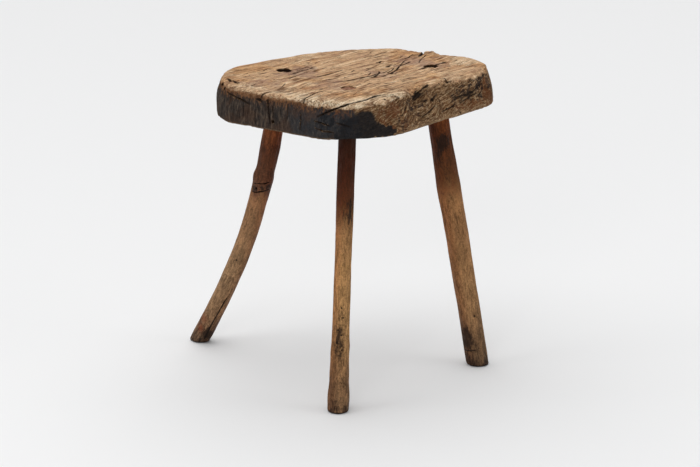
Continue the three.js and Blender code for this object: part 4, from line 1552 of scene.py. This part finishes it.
def end_wood(shading, plain, rings, small):
    """The greyed end grain: upright dark and pale streaks, bluer towards the front corner, a brown
    collar under the arris, and a paler lower rim. Also gives the streaks."""
    place = shading.scaled(plain, (1.0, 1.0, 0.2))
    upright = shading.total((shading.cells(place, 210.0), 0.45), (shading.cells(place, 520.0), 0.55))
    grey = ((0.05, 42, 37, 35), (0.35, 58, 50, 45), (0.65, 72, 62, 54), (0.95, 98, 84, 72))
    colour = shading.laid(shading.ramp(upright, *grey), rings["Ray"], 0.25, 34, 30, 28)
    across = shading.axes(plain)
    cool = shading.between(shading.total((across["X"], 1.0), (small, 0.05)), -0.06, -0.02)
    colour = shading.laid(colour, cool, 0.68, 52, 55, 59)
    warm = shading.between(shading.noise(plain, 34.0, 3.0, 0.6), 0.46, 0.62)
    colour = shading.laid(colour, warm, 0.35, 88, 60, 42)
    level = shading.total((across["Z"], 1.0), (upright, 0.012), (small, 0.02))
    colour = shading.laid(colour, shading.between(level, 0.450, 0.462, 0.0, 0.9), 1, 124, 84, 54)
    return upright, shading.laid(colour, shading.between(level, 0.420, 0.414), 0.3, 96, 80, 64)


def torn_wood(shading, strokes, plain, small):
    """The long sides' torn wood: slanting pale and dark strokes over brown, with dark pits, and a
    worn pale lower rim."""
    brown = ((0.06, 56, 35, 21), (0.28, 108, 76, 50), (0.50, 152, 114, 78), (0.74, 190, 152, 112))
    colour = shading.ramp(strokes["Streak"], *brown, (0.94, 232, 204, 164))
    colour = shading.laid(colour, shading.between(small, 0.55, 0.7, 0.0, 0.5), 1, 68, 45, 28)
    colour = shading.laid(colour, strokes["Line"], 0.48, 38, 25, 17)
    level = shading.total((shading.axes(plain)["Z"], 1.0), (small, 0.02))
    return shading.laid(colour, shading.between(level, 0.418, 0.409, 0.0, 0.5), 1, 206, 170, 130)


def stained(shading, colour, name, small, streak, strength, *tone):
    """A stain over a colour where its mask, the small noise and the fibres add up to enough."""
    level = shading.total((shading.mask(name), 1.0), (small, 0.7), (streak, -0.6))
    return shading.laid(colour, shading.between(level, 0.28, 0.85, 0.0, strength), 1, *tone)


def slab_material():
    """The slab's bare wood: the bleached top, the greyed end grain and the torn long sides, with
    their stains, soot and rust, and painted shade in every crack."""
    material, shading, shader, _ = new_material("weathered_slab")
    log, plain = shading.mask("log_place", "Vector"), shading.object_place()
    fibre = shading.group(FIBRE, log, 200.0, 0.05)
    strokes = shading.group(FIBRE, shading.mask("stroke_place", "Vector"), 370.0, 0.12)
    rings = shading.group(RINGS, log, 330.0)
    small = shading.noise(plain, 330.0, 4.0, 0.75)

    top = top_wood(shading, fibre, rings, plain, small)
    upright, end = end_wood(shading, plain, rings, small)
    torn = torn_wood(shading, strokes, plain, small)
    under = shading.ramp(fibre["Streak"], (0.1, 56, 42, 32), (0.5, 98, 76, 56), (0.9, 140, 116, 90))
    colour = shading.mix(shading.mask("end_grain"), torn, end)
    colour = shading.mix(shading.mask("underside"), colour, under)
    colour = stained(shading, colour, "rust", small, strokes["Streak"], 0.68, 126, 76, 44)
    colour = stained(shading, colour, "soot", small, strokes["Streak"], 0.86, 44, 37, 36)
    colour = stained(shading, colour, "blue_stain", small, 0.35, 0.95, 34, 35, 38)
    edge = shading.total((shading.mask("worn_top"), 1.0), (small, 0.9))
    colour = shading.mix(shading.between(edge, 0.72, 1.18), colour, top)
    # Painted shade: dark brown laid into the splits, holes, pits and mortise walls
    crack_shade = shading.between(shading.mask("crevice"), 0.2, 0.75, 0.0, 0.92)
    colour = shading.laid(colour, crack_shade, 1, 30, 20, 14)
    colour = shading.laid(colour, shading.group(GRIME, plain, 0.0)["Speck"], 0.4, 70, 46, 30)
    colour = shading.toned(colour, shading.noise(plain, 170.0, 3.0, 0.7), 0.34, 0.66, 0.92, 1.08)
    colour = shading.toned(colour, small, 0.3, 0.7, 0.86, 1.14)
    shading.feed(shader.inputs["Base Color"], colour)
    shading.feed(shader.inputs["Roughness"], shading.between(fibre["Streak"], 0.2, 0.85, 0.96, 0.74))
    shader.inputs["Specular IOR Level"].default_value = 0.12

    not_torn = shading.maths("MAXIMUM", shading.mask("worn_top"), shading.mask("end_grain"))
    torn_share = shading.maths("SUBTRACT", 1.0, not_torn, clamp=True)
    relief = shading.bump(small, 0.0008, shading.bump(fibre["Height"], 0.0013))
    relief = shading.bump(shading.product(upright, shading.mask("end_grain")), 0.0014, relief)
    relief = shading.bump(shading.product(strokes["Height"], torn_share), 0.0016, relief)
    shading.feed(shader.inputs["Normal"], relief)
    return material


# Each leg's colours at heights above the floor in millimetres, and the colour of its tenon's end.
# The left tenon's near-black end is painted shade of its deeply sunk hole
LEG_TONES = {
    "left": (
        ((0, 60, 45, 34), (24, 108, 82, 60), (60, 138, 106, 76), (130, 146, 114, 82), (200, 150, 112, 78),
         (250, 146, 104, 70), (262, 128, 88, 60), (270, 92, 60, 42), (300, 100, 60, 38), (330, 88, 47, 26),
         (372, 118, 64, 32), (398, 74, 44, 28)),
        # painted shade of the left tenon's sunken hole
        (34, 24, 18),
    ),
    "front": (
        ((0, 70, 51, 36), (20, 124, 94, 66), (70, 142, 105, 70), (120, 158, 120, 78), (200, 176, 132, 84),
         (256, 164, 120, 77), (276, 128, 86, 52), (292, 96, 54, 28), (316, 80, 40, 19), (340, 72, 32, 13),
         (398, 50, 25, 13)),
        (150, 104, 78),
    ),
    "right": (
        ((0, 62, 46, 34), (20, 110, 84, 60), (60, 136, 102, 70), (130, 158, 118, 78), (220, 156, 112, 72),
         (262, 152, 108, 68), (284, 112, 72, 42), (300, 98, 59, 31), (340, 90, 48, 23), (378, 106, 56, 25),
         (398, 122, 66, 30)),
        (172, 138, 102),
    ),
}
# What the noise adds to a leg's heights on average, in metres
MEAN_FRAY = 0.055


def leg_material(name, tones, end):
    """A shaved branch worn by hands: colours that change up the leg with frayed edges, streaks and
    mottling along the stem, dirt in patches and specks with painted shade at the foot, painted
    shade in the splits and holes, and a soft shine."""
    material, shading, shader, _ = new_material(f"{name}_branch")
    stem = shading.mask("stem_place", "Vector")
    fibre = shading.group(FIBRE, stem, 260.0, 0.22)
    streak = fibre["Streak"]
    cloud = shading.noise(shading.scaled(stem, (0.4, 1.0, 1.0)), 55.0, 3.0, 0.6, 0.3)
    small = shading.noise(stem, 400.0, 4.0, 0.75)
    height = shading.axes(shading.object_place())["Z"]
    level = shading.total((height, 1.0), (cloud, 0.06), (streak, 0.03), (small, 0.02))
    share = shading.between(level, MEAN_FRAY, MEAN_FRAY + SEAT_HEIGHT * MM, kind="LINEAR")
    colour = shading.ramp(share, *((rise / SEAT_HEIGHT, *tone) for rise, *tone in tones))
    colour = shading.toned(colour, streak, 0.1, 0.9, 0.74, 1.26)
    colour = shading.toned(colour, cloud, 0.35, 0.65, 0.84, 1.16)
    colour = shading.toned(colour, small, 0.3, 0.7, 0.76, 1.26)
    flush = shading.product(shading.mask("flushed"), 0.5)
    colour = shading.mix(flush, colour, srgb(206, 158, 132), "MULTIPLY")
    colour = shading.laid(colour, fibre["Line"], 0.55, 58, 36, 23)
    colour = shading.laid(colour, shading.mask("reddened"), 0.5, 140, 66, 36)
    # Dirt in patches and specks, and the painted shade at the foot
    grime = shading.group(GRIME, stem, shading.mask("grime"))
    colour = shading.laid(colour, grime["Dirt"], 0.85, 36, 24, 17)
    colour = shading.laid(colour, grime["Speck"], 0.45, 46, 30, 20)
    # The tenon's end tone; on the left leg it is painted shade of the sunken hole
    end_tone = shading.toned(srgb(*end)[:3], streak, 0.1, 0.9, 0.6, 1.35)
    colour = shading.mix(shading.mask("tenon_end"), colour, end_tone)
    # Painted shade in the splits and holes and round the sole
    crack_shade = shading.between(shading.mask("crevice"), 0.2, 0.8, 0.0, 0.9)
    colour = shading.laid(colour, crack_shade, 1, 28, 19, 13)
    shading.feed(shader.inputs["Base Color"], colour)
    shading.feed(shader.inputs["Roughness"], shading.between(streak, 0.1, 0.9, 0.78, 0.5))
    shader.inputs["Specular IOR Level"].default_value = 0.11
    shading.feed(shader.inputs["Normal"], shading.bump(small, 0.0003, shading.bump(fibre["Height"], 0.0005)))
    return material


def wedge_material(name, end):
    """A wedge's end grain, of its tenon's end colour, which on the left leg is painted shade: fine
    rays and dirt.
    """
    material, shading, shader, _ = new_material(f"{name}_split_wedge")
    plain = shading.object_place()
    fibre = shading.group(FIBRE, plain, 420.0, 0.3)
    colour = shading.toned(srgb(*end)[:3], fibre["Streak"], 0.1, 0.9, 0.6, 1.3)
    colour = shading.laid(colour, shading.group(GRIME, plain, 0.2)["Dirt"], 0.5, 52, 38, 28)
    shading.feed(shader.inputs["Base Color"], colour)
    shading.feed(shader.inputs["Roughness"], shading.between(fibre["Streak"], 0.2, 0.8, 0.92, 0.75))
    shading.feed(shader.inputs["Normal"], shading.bump(fibre["Height"], 0.0006))
    return material


# The camera, the floor and the light. The camera looks down by its pitch along +Y
CAMERA_PLACE = (0.0195, -3.0045, 1.13153)
CAMERA_PITCH = 17
LENS, SENSOR = 111.12, 36
FLOOR_HALF = 40.0
SUN_SIDE, SUN_POWER, SUN_SPREAD = Vector((-0.2, 0.22, 1)), 2.3, math.radians(95)
SURROUND_TINT = (0.96, 0.975, 1.0, 1)
SURROUND_SHINE, SURROUND_LOOK = 0.2, 0.85
LAMP_AIM = Vector((0, 0, 0.25))
# Each lamp: place, width, height, power
LAMPS = {
    "left_lamp": ((-6, -1.8, 2.6), 3, 3.4, 55),
    "right_lamp": ((6, -1.3, 2.6), 3, 3.4, 48),
    "front_lamp": ((-1.4, -6.6, 3.2), 3.2, 2.4, 84),
}


def placed(name, data, place=(0, 0, 0), turn=(0, 0, 0)):
    """A new object of the scene, at a place and turned."""
    holder = bpy.data.objects.new(name, data)
    holder.location, holder.rotation_euler = place, turn
    bpy.context.scene.collection.objects.link(holder)
    return holder


def place_camera():
    """The photograph's view, over the front leg."""
    camera = bpy.data.cameras.new("camera")
    camera.sensor_width, camera.lens = SENSOR, LENS
    bpy.context.scene.camera = placed("camera", camera, CAMERA_PLACE, (math.radians(90 - CAMERA_PITCH), 0, 0))


def lay_floor():
    """A plain pale floor that isn't seen from below."""
    corners = [(s * FLOOR_HALF, t * FLOOR_HALF, 0) for s, t in ((-1, -1), (1, -1), (1, 1), (-1, 1))]
    mesh = bpy.data.meshes.new("floor")
    mesh.from_pydata(corners, [], [(0, 1, 2, 3)])
    material, shading, shader, surface = new_material("pale_floor")
    shader.inputs["Base Color"].default_value = srgb(240, 240, 240)
    shader.inputs["Roughness"].default_value = 0.85
    shader.inputs["Specular IOR Level"].default_value = 0.2
    behind = shading.node("NewGeometry").outputs["Backfacing"]
    seen = shading.node("LightPath").outputs["Is Camera Ray"]
    choice = shading.node("MixShader", {0: shading.product(behind, seen)})
    shading.feed(choice.inputs[1], shader.outputs[0])
    shading.feed(choice.inputs[2], shading.node("BsdfTransparent").outputs[0])
    shading.feed(surface, choice.outputs[0])
    mesh.materials.append(material)
    placed("floor", mesh)


def light_room():
    """A broad even light from overhead, softer lamps at both sides and in front, and an even pale
    surround that looks brighter than it shines."""
    overhead = bpy.data.lights.new("overhead_light", "SUN")
    overhead.energy, overhead.angle = SUN_POWER, SUN_SPREAD
    placed("overhead_light", overhead, turn=SUN_SIDE.to_track_quat("Z", "Y").to_euler())
    for name, (place, wide, high, power) in LAMPS.items():
        lamp = bpy.data.lights.new(name, "AREA")
        lamp.shape = "RECTANGLE"
        lamp.size, lamp.size_y, lamp.energy = wide, high, power
        placed(name, lamp, place, (LAMP_AIM - Vector(place)).to_track_quat("-Z", "Y").to_euler())
    world = bpy.data.worlds.new("surround")
    bpy.context.scene.world = world
    world.use_nodes = True
    shading = Shading(world.node_tree)
    background = world.node_tree.nodes["Background"]
    background.inputs["Color"].default_value = SURROUND_TINT
    seen = shading.node("LightPath").outputs["Is Camera Ray"]
    strength = shading.between(seen, 0, 1, SURROUND_SHINE, SURROUND_LOOK, kind="LINEAR")
    shading.feed(background.inputs["Strength"], strength)
    bpy.context.scene.view_settings.view_transform = "Standard"


# Putting it together

# Edges sharper than these angles stay sharp
SEAT_SHARP, LEG_SHARP = 42, 40
# Each leg's number of shaved flats, and its place in the noise
SHAVINGS = (("left", 9, 1.7), ("front", 8, 5.2), ("right", 9, 8.4))

place_camera()
lay_floor()
light_room()

seat = build_seat()
mark_seat(seat)
finish_shading(seat, SEAT_SHARP)
seat.data.materials.clear()
seat.data.materials.append(slab_material())
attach(seat, "root")
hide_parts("seat")

for name, flats, seed in SHAVINGS:
    leg = build_leg(name, LEGS[name], flats, seed)
    mark_leg(leg, name, LEGS[name])
    finish_shading(leg, LEG_SHARP)
    leg.data.materials.clear()
    leg.data.materials.append(leg_material(name, *LEG_TONES[name]))
    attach(leg, "root")
    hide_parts(f"{name}_leg")

for name in LEGS:
    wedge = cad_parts[f"{name}_wedge"]
    wood = wedge_material(name, LEG_TONES[name][1])
    for holder in wedge.material_slots:
        holder.material = wood
